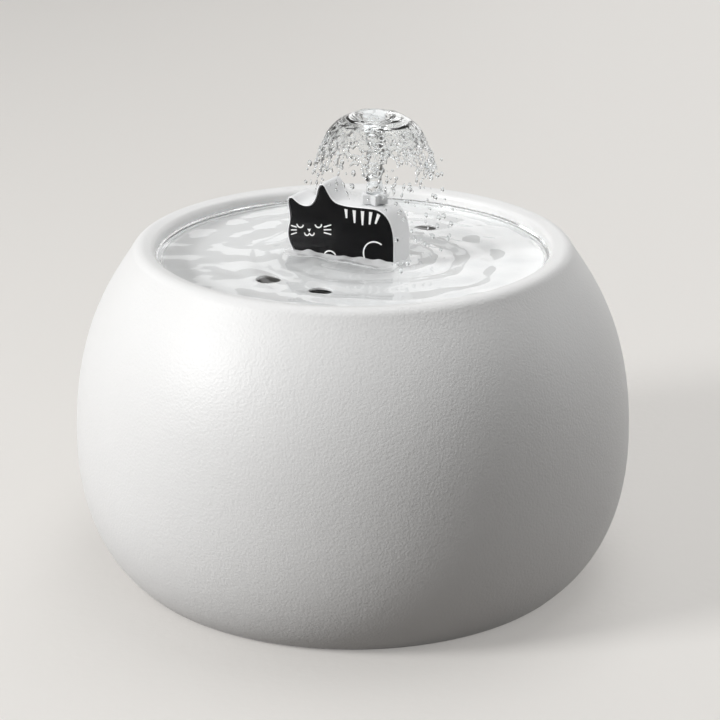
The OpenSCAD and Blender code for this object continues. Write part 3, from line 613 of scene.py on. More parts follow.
# %% [markdown]
# The glaze is matte and very slightly pebbled, like orange peel, because it is fired thick and
# cools before it has flowed flat. Inside it is smoother. The white is even, with a hardly visible
# cloudiness, so the relief does the work: fine bumps about a millimetre across, which show only
# where the light grazes them.


# %% Glaze
def glaze_finish():
    glaze = Finish("bowl_glaze")
    x, y, z = glaze.axes()
    radius = (x * x + y * y) ** 0.5
    inside = radius.step(0.0745, 0.0725) * z.step(0.1, 0.101)
    clouds = glaze.grain(0.03, detail=3)
    tint = glaze.blend(clouds, (0.80, 0.80, 0.795), (0.84, 0.84, 0.835))
    pebble = glaze.grain(0.0009, detail=1.5, rough=0.45)
    drift = glaze.grain(0.006, detail=1)
    normal = glaze.relief(pebble * (1 - 0.8 * inside) * 0.75 + drift * 0.45, 0.00017)
    return glaze.done(glaze.skin(tint, 0.43 + 0.08 * clouds - 0.18 * inside, Normal=normal,
                                 Specular_IOR_Level=0.45))


bowl = settle(make_bowl(), "bowl_ware", "bowl", glaze_finish(), "bowl", slot="bowl_glaze", angle=40)

# %% [markdown]
# ## The tray
#
# The tray is injection-moulded in glossy white plastic: a thin plate with an upturned edge, a
# skirt below it with a groove for the gasket, and a socket under the plate that takes the riser
# tube. A lathe section gives all the round features at once. The drain holes have rounded lips,
# so their cutters flare at the top like the pins of a real mould.

# %% Tray
TRAY_R, TRAY_Z, TRAY_T, EDGE_T, EDGE_TOP = 72.8, 116.0, 2.5, 2.0, 118.5
GROOVE_LOW, GROOVE_HIGH, GROOVE_R = 110.2, 112.4, 71.6
SPOUT_X, SPOUT_Y, SPOUT_TURN = 8.0, -6.0, math.radians(-27)
SOCKET_Z, SOCKET_R, SOCKET_WALL, PLUG_BORE_R, PLUG_Z = 98.0, 6.5, 3.5, 5.8, 109.3
SEAL_R, SEAL_LOW, SEAL_HIGH = 8.0, 101.0, 104.0
DRAINS = [(-30.4, -27.5), (-11.5, -40), (28.5, 37), (-8, 42)]
DRAIN_R = 4.25
PIN_XS, PIN_R, PIN_L = (-25, 8.5), 1.4, 1.5


def at_spout(x, y=0.0):
    """A place given from the nozzle's axis, along and across the spout, as a place on the tray."""
    c, s = math.cos(SPOUT_TURN), math.sin(SPOUT_TURN)
    return SPOUT_X + c * x - s * y, SPOUT_Y + s * x + c * y


def make_tray():
    under = TRAY_Z - TRAY_T
    section = [(0, TRAY_Z, 0), (TRAY_R - EDGE_T, TRAY_Z, 1.4), (TRAY_R - EDGE_T, EDGE_TOP, 0.8),
               (TRAY_R, EDGE_TOP, 0.8), (TRAY_R, GROOVE_HIGH, 0.3), (GROOVE_R, GROOVE_HIGH, 0.2),
               (GROOVE_R, GROOVE_LOW, 0.2), (TRAY_R, GROOVE_LOW, 0.3), (TRAY_R, LEDGE_Z, 0.5),
               (TRAY_R - EDGE_T, LEDGE_Z, 0.5), (TRAY_R - EDGE_T, under, 0.8), (0, under, 0)]
    tray = turned("drip_tray", rounded(section), 180)
    outer = SOCKET_R + SOCKET_WALL
    socket = [(0, SOCKET_Z, 0), (outer, SOCKET_Z, 0.8), (outer, under - 2, 0), (outer + 1.5, under + 0.5, 0),
              (outer + 1.5, under + 1, 0), (0, under + 1, 0)]
    socket = place_fixed(turned("socket", rounded(socket), 96), (SPOUT_X * MM, SPOUT_Y * MM, 0))
    cut(tray, socket, operation="UNION")
    bore = [(0, SOCKET_Z - 1), (SOCKET_R + 0.6, SOCKET_Z - 1), (SOCKET_R + 0.6, SOCKET_Z), (SOCKET_R, SOCKET_Z + 0.8),
            (SOCKET_R, SEAL_LOW), (SEAL_R, SEAL_LOW), (SEAL_R, SEAL_HIGH), (SOCKET_R, SEAL_HIGH),
            (SOCKET_R, PLUG_Z), (PLUG_BORE_R, PLUG_Z), (PLUG_BORE_R, RIM_Z), (0, RIM_Z)]
    cut(tray, place_fixed(turned("bore", bore, 96), (SPOUT_X * MM, SPOUT_Y * MM, 0)))
    cut(tray, *pegs(DRAIN_R, under - 1, TRAY_Z, DRAINS, 64, flare=0.5))
    cut(tray, *pegs(PIN_R + 0.2, TRAY_Z - 1.8, TRAY_Z + 1, [at_spout(x) for x in PIN_XS], 32))
    return tray


def moulded(name, tint, rough, grain=0.0004, depth=0.00001, **more):
    """Moulded plastic: an even colour, with the fine texture that the mould's steel leaves."""
    plastic = Finish(name)
    cloud = plastic.grain(0.02, detail=2)
    fine = plastic.grain(grain, detail=1)
    pale = tuple(min(1.0, c * 1.04) for c in tint)
    colour = plastic.blend(cloud, tint, pale)
    normal = plastic.relief(fine, depth)
    return plastic.done(plastic.skin(colour, rough + 0.06 * cloud, Normal=normal, **more))


white_gloss = moulded("white_plastic", (0.82, 0.825, 0.825), 0.16)
tray = settle(make_tray(), "drip_tray", "tray", white_gloss, "tray", slot="white_plastic", angle=30)

# %% [markdown]
# ## The cat-shaped spout
#
# The spout is a hollow shell in pale satin plastic with a black front plate let into its face.
# Its outline is a resting cat in profile: two ears, a nape, a long back and a round rump. The
# outline is a chain of smooth curves that share their ends. The shell is pulled from it, the front
# is inset to leave a thin rim, and the face is pushed back to seat the plate. A round-edged hollow
# is cut from behind and closed by a cover with two posts.

# %% Outline of the cat
CAT = [[(-29, 0), (-29.6, 4), (-33.1, 6.5), (-33.1, 10.5)],
       [(-33.1, 10.5), (-33.1, 13.5), (-32.2, 14.5), (-32.2, 17)],
       [(-32.2, 17), (-32.2, 19.5), (-32.9, 21.5), (-32.9, 23.2)],
       [(-32.9, 23.2), (-32.9, 25), (-31.3, 25.4), (-30.2, 24.6)],
       [(-30.2, 24.6), (-28.8, 23.6), (-27.6, 22.6), (-25.8, 22.6)],
       [(-25.8, 22.6), (-24, 22.6), (-22.9, 23.2), (-22, 24.6)],
       [(-22, 24.6), (-20.9, 26.4), (-20.8, 28.3), (-20.1, 30)],
       [(-20.1, 30), (-19.4, 31.9), (-17.7, 31.9), (-16.8, 30.4)],
       [(-16.8, 30.4), (-15.2, 27.8), (-14.4, 25.6), (-11.5, 25)],
       [(-11.5, 25), (-7.5, 24.2), (-3.5, 24.9), (2.5, 24.9)],
       [(2.5, 24.9), (8.5, 24.9), (11.3, 19.5), (11.3, 12)]]
CAT_T, FACE_RECESS, RIM_W, SHELL_T, PLATE_T, SNUG = 13.0, 1.2, 0.65, 1.6, 0.9, 0.08
CAT_FRONT, CAT_BACK = -CAT_T / 2, CAT_T / 2
STEM_R, POST_R, POSTS = 4.0, 1.2, [(-25, 10), (-10.5, 10)]
HOLLOW = [(-30, 1.6, 3), (-30, 19.5, 3), (-17.5, 19.5, 1), (-17.5, 22.9, 2), (9.5, 22.9, 9), (9.5, 1.6, 2)]
BACK_T = 1.5


def cat_outline(count=10):
    line = []
    for curve in CAT:
        line += curve_line(curve, count)[:-1]
    return line + [Vector((11.3, 12)), Vector((11.3, 6)), Vector((11.3, 0.0))]


def to_spout(piece, lift=TRAY_Z):
    """Moves a piece from its own drawing onto the tray, with the spout's turn."""
    return place_fixed(piece, (SPOUT_X * MM, SPOUT_Y * MM, lift * MM), SPOUT_TURN)


def front_faces(piece, y):
    """Selects the faces that look to the front at this depth, in edit mode."""
    bpy.ops.object.mode_set(mode="EDIT")
    bpy.ops.mesh.select_mode(type="FACE")
    bpy.ops.mesh.select_all(action="DESELECT")
    bpy.ops.object.mode_set(mode="OBJECT")
    for face in piece.data.polygons:
        face.select = face.normal.y < -0.9 and abs(face.center.y - y * MM) < 0.05 * MM
    bpy.ops.object.mode_set(mode="EDIT")


def make_shell():
    shell = pulled("spout_case", cat_outline(), CAT_FRONT, CAT_BACK)
    soften(shell, 0.45, 3)
    take(shell)
    front_faces(shell, CAT_FRONT)
    bpy.ops.mesh.inset(thickness=(RIM_W - 0.45) * MM)
    bpy.ops.mesh.extrude_region_move(TRANSFORM_OT_translate={"value": (0, FACE_RECESS * MM, 0)})
    bpy.ops.object.mode_set(mode="OBJECT")
    floor_y = CAT_FRONT + FACE_RECESS + SHELL_T
    cut(shell, pulled("hollow", closed_rounded(HOLLOW), floor_y, CAT_BACK + 2))
    for x, z in POSTS:
        rod = facing_back(turned("sleeve", [(0, -0.3), (POST_R + 1.2, -0.3), (POST_R + 1.2, 5), (0, 5)], 48))
        cut(shell, place_fixed(rod, (x * MM, floor_y * MM, z * MM)), operation="UNION")
        rod = facing_back(turned("bore", [(0, 0.3), (POST_R + 0.05, 0.3), (POST_R + 0.05, 6), (0, 6)], 48))
        cut(shell, place_fixed(rod, (x * MM, floor_y * MM, z * MM)))
    cut(shell, turned("stem_bore", [(0, -2), (STEM_R + 0.05, -2), (STEM_R + 0.05, 40), (0, 40)], 72))
    for x in PIN_XS:
        pin = turned("pin", rounded([(0, -PIN_L, 0), (PIN_R, -PIN_L, 0.5), (PIN_R, 0.5, 0), (0, 0.5, 0)]), 40)
        cut(shell, place_fixed(pin, (x * MM, 0, 0)), operation="UNION")
    return to_spout(shell)


def make_back_cover():
    line = [(x, z, r) for x, z, r in HOLLOW]
    middle = Vector((-10, 11))
    line = [(x - math.copysign(SNUG, x - middle.x), z - math.copysign(SNUG, z - middle.y), r)
            for x, z, r in line]
    cover = pulled("cover", closed_rounded(line), CAT_BACK - BACK_T, CAT_BACK)
    soften(cover, 0.25, 2)
    reach = CAT_T - FACE_RECESS - SHELL_T - BACK_T - 1.5
    for x, z in POSTS:
        post = [(0, 0, 0), (POST_R, 0, 0.3), (POST_R, reach, 0), (0, reach, 0)]
        post = facing_back(turned("post", rounded(post), 40))
        y = CAT_FRONT + FACE_RECESS + SHELL_T + 2
        cut(cover, place_fixed(post, (x * MM, y * MM, z * MM)), operation="UNION")
    return to_spout(cover)


def make_face_plate():
    """The outline drawn again, inset by the rim and a hair of clearance."""
    plate = pulled("plate", cat_outline(), CAT_FRONT + FACE_RECESS - PLATE_T, CAT_FRONT + FACE_RECESS)
    take(plate)
    front_faces(plate, CAT_FRONT + FACE_RECESS - PLATE_T)
    bpy.ops.mesh.inset(thickness=(RIM_W + SNUG) * MM)
    bpy.ops.object.mode_set(mode="OBJECT")
    keep = [f.index for f in plate.data.polygons if f.select]
    bpy.ops.object.mode_set(mode="EDIT")
    bpy.ops.mesh.select_all(action="INVERT")
    bpy.ops.mesh.delete(type="FACE")
    bpy.ops.mesh.select_all(action="SELECT")
    bpy.ops.mesh.extrude_region_move(TRANSFORM_OT_translate={"value": (0, PLATE_T * MM, 0)})
    tidy_mesh()
    bpy.ops.object.mode_set(mode="OBJECT")
    soften(plate, 0.22, 3)
    print("plate outline kept from", len(keep), "face")
    return to_spout(plate)


shell_satin = moulded("shell_plastic", (0.82, 0.825, 0.83), 0.3, 0.0003, 0.000008)
face_black = moulded("face_black", (0.006, 0.006, 0.0065), 0.2, 0.0003, 0.000006, Specular_IOR_Level=0.1)
settle(make_shell(), "spout_case", "spout", shell_satin, "spout_shell", slot="shell_plastic")
settle(make_back_cover(), "spout_rear_cover", "spout", shell_satin, "spout_back", slot="shell_plastic")
settle(make_face_plate(), "spout_front_plate", "spout", face_black, "face_plate", slot="face_black")

# %% [markdown]
# The white lines on the plate are pad-printed. They are thin flat solids in the model already, so
# the model's own piece stays and only gets its ink: matte, with the slightly uneven cover of a
# printed film.


# %% Ink
def paint(node, material):
    """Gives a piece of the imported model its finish."""
    piece = nodes[node]
    if not piece.material_slots:
        piece.data.materials.append(material)
    for place in piece.material_slots:
        place.material = material


ink = moulded("marking_white", (0.84, 0.84, 0.83), 0.5, 0.0002, 0.000004)
paint("face_markings", ink)

# %% [markdown]
# ## The star nozzle
#
# The outlet is a small grey star that pulls off for cleaning. Six points with soft edges stand
# around a shallow crown with the bore in its middle. It is pulled from a star outline, laid flat,
# and bored by turned tools, because that is how it would be moulded.

# %% Nozzle
STEM_TOP, STAR_H, STAR_R, STAR_IN_R, STAR_POINTS = 25.2, 3.4, 5.6, 3.3, 6
SPIGOT_R, SPIGOT_L, NOZZLE_BORE_R, CROWN_R, CROWN_DEPTH = 3.1, 4.0, 2.5, 2.8, 1.0


def make_nozzle():
    tips = []
    for i in range(2 * STAR_POINTS):
        turn = math.pi * i / STAR_POINTS
        far = STAR_IN_R if i % 2 else STAR_R
        tips.append((far * math.cos(turn), far * math.sin(turn), 0.2 if i % 2 else 0.3))
    star = lying(pulled("star", closed_rounded(tips, 3), 0, STAR_H))
    soften(star, 0.22, 2)
    spigot = [(0, -SPIGOT_L, 0), (SPIGOT_R, -SPIGOT_L, 0.4), (SPIGOT_R, 1, 0), (0, 1, 0)]
    cut(star, turned("spigot", rounded(spigot), 64), operation="UNION")
    crown = [(0, -5, 0), (NOZZLE_BORE_R, -5, 0), (NOZZLE_BORE_R, STAR_H - CROWN_DEPTH, 0.3),
             (CROWN_R, STAR_H - CROWN_DEPTH, 0.4), (CROWN_R, STAR_H + 1, 0), (0, STAR_H + 1, 0)]
    cut(star, turned("crown", rounded(crown), 64))
    return to_spout(star, TRAY_Z + STEM_TOP)


nozzle_satin = moulded("nozzle_grey", (0.69, 0.70, 0.705), 0.34, 0.0003, 0.000008)
settle(make_nozzle(), "star_nozzle", "nozzle", nozzle_satin, "nozzle", slot="nozzle_grey", angle=30)

# %% [markdown]
# ## Seals and the stem
#
# Everything that must keep water in its place is a ring, so the stem, its O-ring, the riser and
# the gaskets are all turned. Rubber rings have no sharp edge anywhere, while the stem and riser
# are clear tubes whose only soft edges are at their ends.

# %% Finishes of rubber, silicone and clear plastic
SHAFT_AXIS = (0.5, 34.0)
FRONT_Y = -14.5


def rubber(name, tint, rough=0.55):
    """Rubber and silicone: dull, with a dusty bloom and a fine skin texture."""
    stuff = Finish(name)
    bloom = stuff.grain(0.006, detail=3)
    pale = tuple(c + 0.05 for c in tint)
    normal = stuff.relief(stuff.grain(0.00025, detail=2), 0.000015)
    return stuff.done(stuff.skin(stuff.blend(bloom.step(0.4, 0.8), tint, pale), rough + 0.12 * bloom,
                                 Normal=normal, Sheen_Weight=0.15))


def see_through(name, tint, rough, share):
    """Clear or cloudy plastic that lets lamp light through."""
    plastic = Finish(name)
    cloud = plastic.grain(0.008, detail=2)
    body = plastic.skin(plastic.blend(cloud, tint, tuple(min(1, c * 1.03) for c in tint)), rough + 0.05 * cloud,
                        IOR=1.49, Transmission_Weight=share,
                        Normal=plastic.relief(plastic.grain(0.0005), 0.000006))
    clear = plastic.node("ShaderNodeBsdfTransparent", {}, {"Color": (1, 1, 1, 1)})
    lamp = Wire(plastic, plastic.rays()["Is Shadow Ray"])
    return plastic.done(plastic.node("ShaderNodeMixShader", {}, {0: lamp * (0.8 * share), 1: body, 2: clear}))


black_plastic = moulded("black_plastic", (0.035, 0.036, 0.04), 0.42, 0.0005, 0.00003)
grey_silicone = rubber("grey_silicone", (0.33, 0.35, 0.36))
pale_silicone = rubber("pale_silicone", (0.62, 0.64, 0.65), 0.45)
pad_rubber = rubber("pad_rubber", (0.13, 0.13, 0.14), 0.7)
lead_rubber = rubber("lead_rubber", (0.03, 0.03, 0.032), 0.5)
clear_plastic = see_through("clear_plastic", (0.86, 0.88, 0.9), 0.12, 0.85)
box_plastic = see_through("box_plastic", (0.74, 0.77, 0.79), 0.34, 0.35)


def upright(piece, x, y, z=0.0):
    return place_fixed(piece, (x * MM, y * MM, z * MM))


# %% Stem, O-ring, riser and seals
PLUG_R, PLUG_L, STEM_BORE_R, SEAL_DROP, SEAL_THICK = 5.5, 6.7, 2.5, -3.4, 0.8
groove = PLUG_R - 1.5
stem_line = closed_rounded([
    (STEM_BORE_R, -PLUG_L, 0.3), (PLUG_R, -PLUG_L, 0.5), (PLUG_R, SEAL_DROP - SEAL_THICK, 0.1),
    (groove, SEAL_DROP - SEAL_THICK, 0.1), (groove, SEAL_DROP + SEAL_THICK, 0.1),
    (PLUG_R, SEAL_DROP + SEAL_THICK, 0.1), (PLUG_R, 0, 0.4), (STEM_R, 0, 0.3),
    (STEM_R, STEM_TOP, 0.2), (SPIGOT_R + 0.2, STEM_TOP, 0.1),
    (SPIGOT_R + 0.2, STEM_TOP - SPIGOT_L - 0.4, 0.2), (STEM_BORE_R, STEM_TOP - SPIGOT_L - 0.4, 0.2)], 3)
settle(to_spout(turned("stem", stem_line, 72, True)), "spout_stem_tube", "spout", clear_plastic,
       "spout_stem", slot="clear_plastic")

ring = arc_line((groove + SEAL_THICK, SEAL_DROP), SEAL_THICK, 0, 345, 23)
settle(to_spout(turned("o_ring", ring, 72, True)), "stem_o_ring", "spout", grey_silicone,
       "stem_seal", slot="grey_silicone", angle=180)

RISER_R, RISER_BORE_R = 6.0, 4.0
riser_low, riser_high = (v.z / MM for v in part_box("riser_tube"))
foot_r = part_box("riser_tube")[1].x / MM - SPOUT_X
SPIGOT_SEAT_R, FOOT_TOP = 6.05, 56.5
riser_line = closed_rounded([
    (RISER_BORE_R, FOOT_TOP, 0.2), (SPIGOT_SEAT_R, FOOT_TOP, 0.2), (SPIGOT_SEAT_R, riser_low, 0.2),
    (foot_r, riser_low, 0.4), (foot_r, FOOT_TOP + 0.2, 0.8), (RISER_R, FOOT_TOP + 1, 1.0),
    (RISER_R, riser_high, 0.5), (RISER_BORE_R, riser_high, 0.3)], 4)
settle(upright(turned("riser", riser_line, 72, True), SPOUT_X, SPOUT_Y), "riser_pipe", "bowl",
       clear_plastic, "riser_tube", slot="clear_plastic")

lips = closed_rounded([(RISER_R + 0.2, SEAL_LOW + 0.1, 0.3), (RISER_R + 1.1, SEAL_LOW + 0.1, 0.3),
                       (SEAL_R - 0.05, SEAL_LOW + 0.1, 0.4), (SEAL_R - 0.05, SEAL_HIGH - 0.1, 0.4),
                       (RISER_R + 1.1, SEAL_HIGH - 0.1, 0.3), (RISER_R + 0.2, SEAL_HIGH - 0.1, 0.3),
                       (RISER_R + 0.75, SEAL_LOW + 1.5, 0.5)], 4)
settle(upright(turned("riser_lips", lips, 72, True), SPOUT_X, SPOUT_Y), "riser_lip_seal", "tray",
       pale_silicone, "riser_seal", slot="pale_silicone", angle=60)

gasket_line = closed_rounded([(GROOVE_R + 0.05, GROOVE_LOW + 0.1, 0.2), (TRAY_R - 0.3, GROOVE_LOW + 0.1, 0.2),
                              (MOUTH_R - 0.22, GROOVE_LOW + 0.7, 0.5), (MOUTH_R - 0.22, GROOVE_HIGH - 0.7, 0.5),
                              (TRAY_R - 0.3, GROOVE_HIGH - 0.1, 0.2), (GROOVE_R + 0.05, GROOVE_HIGH - 0.1, 0.2)], 4)
settle(turned("gasket", gasket_line, 240, True), "tray_gasket_ring", "tray", pale_silicone,
       "tray_gasket", slot="pale_silicone", angle=60)

# %% [markdown]
# ## Foot pads and the power inlet
#
# Four rubber pads are let into the base. Each has fine rings pressed into its face, so it grips.
# The inlet is a jack with a flange, which a hexagon nut draws against a seal in the bowl's rear
# recess. One pad is turned and copied, the nut is a six-sided outline whose corners are turned
# away by a cone, and the barrel has ridges where its thread is.

# %% Pads


def copies(piece, places):
    """Copies a piece to the other places, each with its own mesh, and joins them all."""
    first, made = places[0], [piece]
    for place in places[1:]:
        take(piece)
        bpy.ops.object.duplicate(linked=False)
        twin = bpy.context.object
        made.append(place_fixed(twin, [(b - a) * MM for a, b in zip(first, place)]))
    return joined(*made)


pad_places = [(PAD_RING * math.cos(math.radians(a)), PAD_RING * math.sin(math.radians(a)), 0)
              for a in (45, 135, 225, 315)]
PAD_TOP = 1.5
pad_face = []
for far in (5.6, 4.0, 2.4):
    pad_face += [(far + 0.5, 0, 0.15), (far + 0.3, 0.3, 0.1), (far - 0.3, 0.3, 0.1), (far - 0.5, 0, 0.15)]
pad_line = rounded([(0, PAD_TOP, 0), (PAD_R - 0.05, PAD_TOP, 0.2), (PAD_R - 0.05, 0, 0.35)] + pad_face
                   + [(0, 0, 0)], 3)
pad = upright(turned("pad", pad_line, 64), *pad_places[0][:2])
settle(copies(pad, pad_places), "foot_pad_rubbers", "bowl", pad_rubber, "foot_pads", slot="pad_rubber")

# %% Inlet
FLANGE_R, FLANGE_Y, FLANGE_T, BARREL_R, BARREL_END, JACK_R, JACK_PIN_R = 9.0, 102.5, 1.5, 5.3, 88.0, 2.85, 1.0
JACK_DEPTH, NUT_R, NUT_T, SEAL_T = 9.0, 9.2, 4.0, 1.0
thread = []
for k in range(12):
    z = BARREL_END + 1.2 + 0.8 * k
    thread += [(BARREL_R - 0.28, z - 0.4, 0), (BARREL_R, z, 0.05)]
jack_top, jack_floor = FLANGE_Y + FLANGE_T, FLANGE_Y + FLANGE_T - JACK_DEPTH
body_line = rounded([(0, BARREL_END, 0), (BARREL_R - 0.3, BARREL_END, 0.3)] + thread
                    + [(BARREL_R, FLANGE_Y - 4, 0), (BARREL_R, FLANGE_Y, 0.1), (FLANGE_R, FLANGE_Y, 0.2),
                       (FLANGE_R, jack_top, 0.7), (JACK_R + 1.2, jack_top, 0.3),
                       (JACK_R + 1.0, jack_top - 0.35, 0.1), (JACK_R, jack_top - 0.6, 0.2),
                       (JACK_R, jack_floor, 0.2), (JACK_PIN_R + 0.02, jack_floor, 0),
                       (JACK_PIN_R + 0.02, BARREL_END + 2, 0), (0, BARREL_END + 2, 0)], 4)
settle(facing_back(turned("jack", body_line, 96), 0, INLET_Z), "inlet_jack", "bowl", black_plastic,
       "inlet_body", slot="black_plastic", angle=30)

seal_line = closed_rounded([(INLET_HOLE_R, 0.02, 0.3), (FLANGE_R - 0.5, 0.02, 0.3),
                            (FLANGE_R - 0.5, SEAL_T - 0.02, 0.3), (INLET_HOLE_R, SEAL_T - 0.02, 0.3)], 4)
settle(facing_back(turned("washer", seal_line, 96, True), RECESS_Y, INLET_Z), "inlet_washer", "bowl",
       grey_silicone, "inlet_seal", slot="grey_silicone")

hexagon = [(NUT_R * math.cos(math.radians(60 * k)), NUT_R * math.sin(math.radians(60 * k)))
           for k in range(6)]
nut = lying(pulled("nut", hexagon, -NUT_T, 0))
place_fixed(nut, (0, 0, NUT_T * MM))
corner = NUT_R * math.cos(math.radians(30))
cone = [(0, 0, 0), (corner + 0.2, 0, 0), (NUT_R + 0.6, 1.0, 0), (NUT_R + 0.6, NUT_T - 1.0, 0),
        (corner + 0.2, NUT_T, 0), (0, NUT_T, 0)]
cut(nut, turned("cone", rounded(cone), 96), operation="INTERSECT")
bore_line = [(0, -1), (BARREL_R + 0.5, -1), (BARREL_R + 0.5, 0), (BARREL_R + 0.05, 0.45),
             (BARREL_R + 0.05, NUT_T - 0.45), (BARREL_R + 0.5, NUT_T), (BARREL_R + 0.5, NUT_T + 1), (0, NUT_T + 1)]
cut(nut, turned("nut_bore", bore_line, 72))
settle(facing_back(nut, BOSS_Y - NUT_T, INLET_Z), "inlet_hex_nut", "bowl", black_plastic,
       "inlet_nut", slot="black_plastic", angle=30)


def metal(name, tint, rough, size=0.0005):
    """Bare metal with fine scratches."""
    stuff = Finish(name)
    lines = stuff.grain(size, stuff.place((1, 0.08, 1)), detail=3)
    shade = stuff.blend(lines, tint, tuple(c * 0.86 for c in tint))
    return stuff.done(stuff.skin(shade, rough + 0.15 * lines, Metallic=1.0,
                                 Normal=stuff.relief(lines, 0.000006)))


contact_metal = metal("contact_metal", (0.83, 0.64, 0.28), 0.2)
pin_low, pin_high = (v.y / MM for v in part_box("inlet_contacts"))
pin_line = rounded([(0, pin_low, 0), (JACK_PIN_R, pin_low, 0.2), (JACK_PIN_R, pin_high, 0.8),
                    (0, pin_high, 0)], 5)
settle(facing_back(turned("pin", pin_line, 40), 0, INLET_Z), "inlet_pin", "bowl", contact_metal,
       "inlet_contacts", slot="contact_metal")

# %% [markdown]
# ## The lead, its grommet and the suction cups
#
# The lead runs from the pump through a grommet to the inlet, in one easy curve that keeps clear of
# the wall. It follows the same points as the model's own lead. A poly curve through a smooth line
# of these points gets a round section and becomes a mesh.

# %% Lead
LEAD_R = 1.8
LEAD_ROUTE = [(0.5, 28, 20), (0.5, 32, 20), (0.5, 36, 20), (0.5, 41, 20), (2, 49, 18), (6, 57, 17),
              (10, 64, 21), (11, 69, 28), (8, 72, 36), (3, 74, 42), (0.4, 78, 44.8), (0, 83, 45), (0, 88, 45)]


def smooth_route(route, steps):
    """A smooth line through all the points of a route."""
    points = [Vector(p) for p in route]
    line = []
    for i in range(len(points) - 1):
        a, b, c, d = (points[max(0, min(len(points) - 1, i + k))] for k in (-1, 0, 1, 2))
        for k in range(steps):
            t = k / steps
            line.append(0.5 * (2 * b + t * (c - a) + t * t * (2 * a - 5 * b + 4 * c - d)
                               + t ** 3 * (3 * b - a - 3 * c + d)))
    return line + [points[-1]]


def tube(name, line, radius, sides=3, closed=False):
    """A round bar along a line of points in millimetres."""
    clear_selection()
    bpy.ops.curve.primitive_bezier_curve_add()
    curve = bpy.context.object
    curve.data.splines.clear()
    spline = curve.data.splines.new("POLY")
    spline.points.add(len(line) - 1)
    for dot, point in zip(spline.points, line):
        dot.co = (*(Vector(point) * MM), 1)
    spline.use_cyclic_u = closed
    curve.data.bevel_depth = radius * MM
    curve.data.bevel_resolution = sides
    curve.data.use_fill_caps = True
    bpy.ops.object.convert(target="MESH")
    piece = bpy.context.object
    piece.name = name
    bpy.ops.object.mode_set(mode="EDIT")
    tidy_mesh()
    bpy.ops.object.mode_set(mode="OBJECT")
    return piece


settle(tube("lead", smooth_route(LEAD_ROUTE, 8), LEAD_R), "pump_lead_cable", "bowl", lead_rubber,
       "pump_lead", slot="lead_rubber", angle=60)

# %% Grommet and cups
WALL_Y, BOX_T, LEAD_Z = 35.0, 2.0, 20.0
grommet_line = closed_rounded([
    (LEAD_R + 0.05, -1, 0.3), (4.6, -1, 0.5), (4.6, 0, 0.2), (3.4, 0, 0.05), (3.4, BOX_T, 0.05),
    (4.6, BOX_T, 0.2), (4.6, BOX_T + 1, 0.5), (LEAD_R + 0.05, BOX_T + 1, 0.3)], 3)
settle(facing_back(turned("grommet", grommet_line, 64, True), WALL_Y, LEAD_Z, SHAFT_AXIS[0]),
       "lead_grommet_ring", "bowl", grey_silicone, "lead_grommet", slot="grey_silicone")

cup_line = rounded([(0, 0.9, 0), (3.2, 0.75, 2), (5.6, 0.12, 1), (7.0, 0.0, 0.1), (6.9, 0.35, 0.1), (5.2, 1.5, 1.5),
                    (3.6, 2.95, 0.3), (2.48, 2.98, 0.1), (2.48, 5.02, 0.1), (3.4, 5.05, 0.3),
                    (2.0, 7.15, 0.5), (0, 7.2, 0)], 4)
cup_places = [(25.5, 31, TANK_Z), (-24.5, 31, TANK_Z), (-24.5, -23, TANK_Z), (25.5, -23, TANK_Z)]
cup = upright(turned("cup", cup_line, 56), *cup_places[0])
settle(copies(cup, cup_places), "suction_cup_set", "bowl", grey_silicone, "suction_cups",
       slot="grey_silicone", angle=60)

# %% [markdown]
# ## Moulded boxes, lid and pump
#
# The pump box, its lid, the cartridge's frame and the pump's casing are moulded parts with flat
# walls, ribs and slots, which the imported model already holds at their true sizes. A mould leaves no
# knife edges, though. So each one is copied, its loose triangles are merged into clean faces, and
# its sharp edges are rounded. That keeps every fit and adds what the eye expects.

# %% Copies with soft edges


def refined(node, width, segments=2, angle=35):
    """A copy of one of the model's pieces, merged, with its flat faces whole and its edges soft."""
    take(nodes[node])
    bpy.ops.object.duplicate(linked=False)
    piece = bpy.context.object
    bpy.ops.object.parent_clear(type="CLEAR_KEEP_TRANSFORM")
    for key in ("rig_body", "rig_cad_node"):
        del piece[key]
    bpy.ops.object.mode_set(mode="EDIT")
    bpy.ops.mesh.select_all(action="SELECT")
    bpy.ops.mesh.remove_doubles(threshold=0.003 * MM)
    bpy.ops.mesh.dissolve_limited(angle_limit=math.radians(0.5))
    bpy.ops.mesh.normals_make_consistent(inside=False)
    bpy.ops.object.mode_set(mode="OBJECT")
    return soften(piece, width, segments, angle) if width else piece


def speckled(name, tint, spots, rough, size):
    """A cast or sintered stuff with fine darker and lighter grains."""
    stuff = Finish(name)
    grain = stuff.cells(size).step(0.2, 0.7)
    cloud = stuff.grain(size * 8, detail=3)
    normal = stuff.relief(grain * 0.6 + cloud * 0.4, size * 0.04)
    return stuff.done(stuff.skin(stuff.blend(grain * 0.5 + cloud * 0.5, tint, spots), rough + 0.1 * cloud,
                                 Normal=normal))


potting = speckled("potting", (0.015, 0.015, 0.017), (0.035, 0.035, 0.037), 0.3, 0.0015)
magnet = speckled("magnet", (0.08, 0.08, 0.085), (0.17, 0.17, 0.175), 0.45, 0.0004)
ceramic = speckled("shaft_ceramic", (0.80, 0.78, 0.71), (0.86, 0.85, 0.79), 0.25, 0.0005)
nozzle_plastic = nozzle_satin

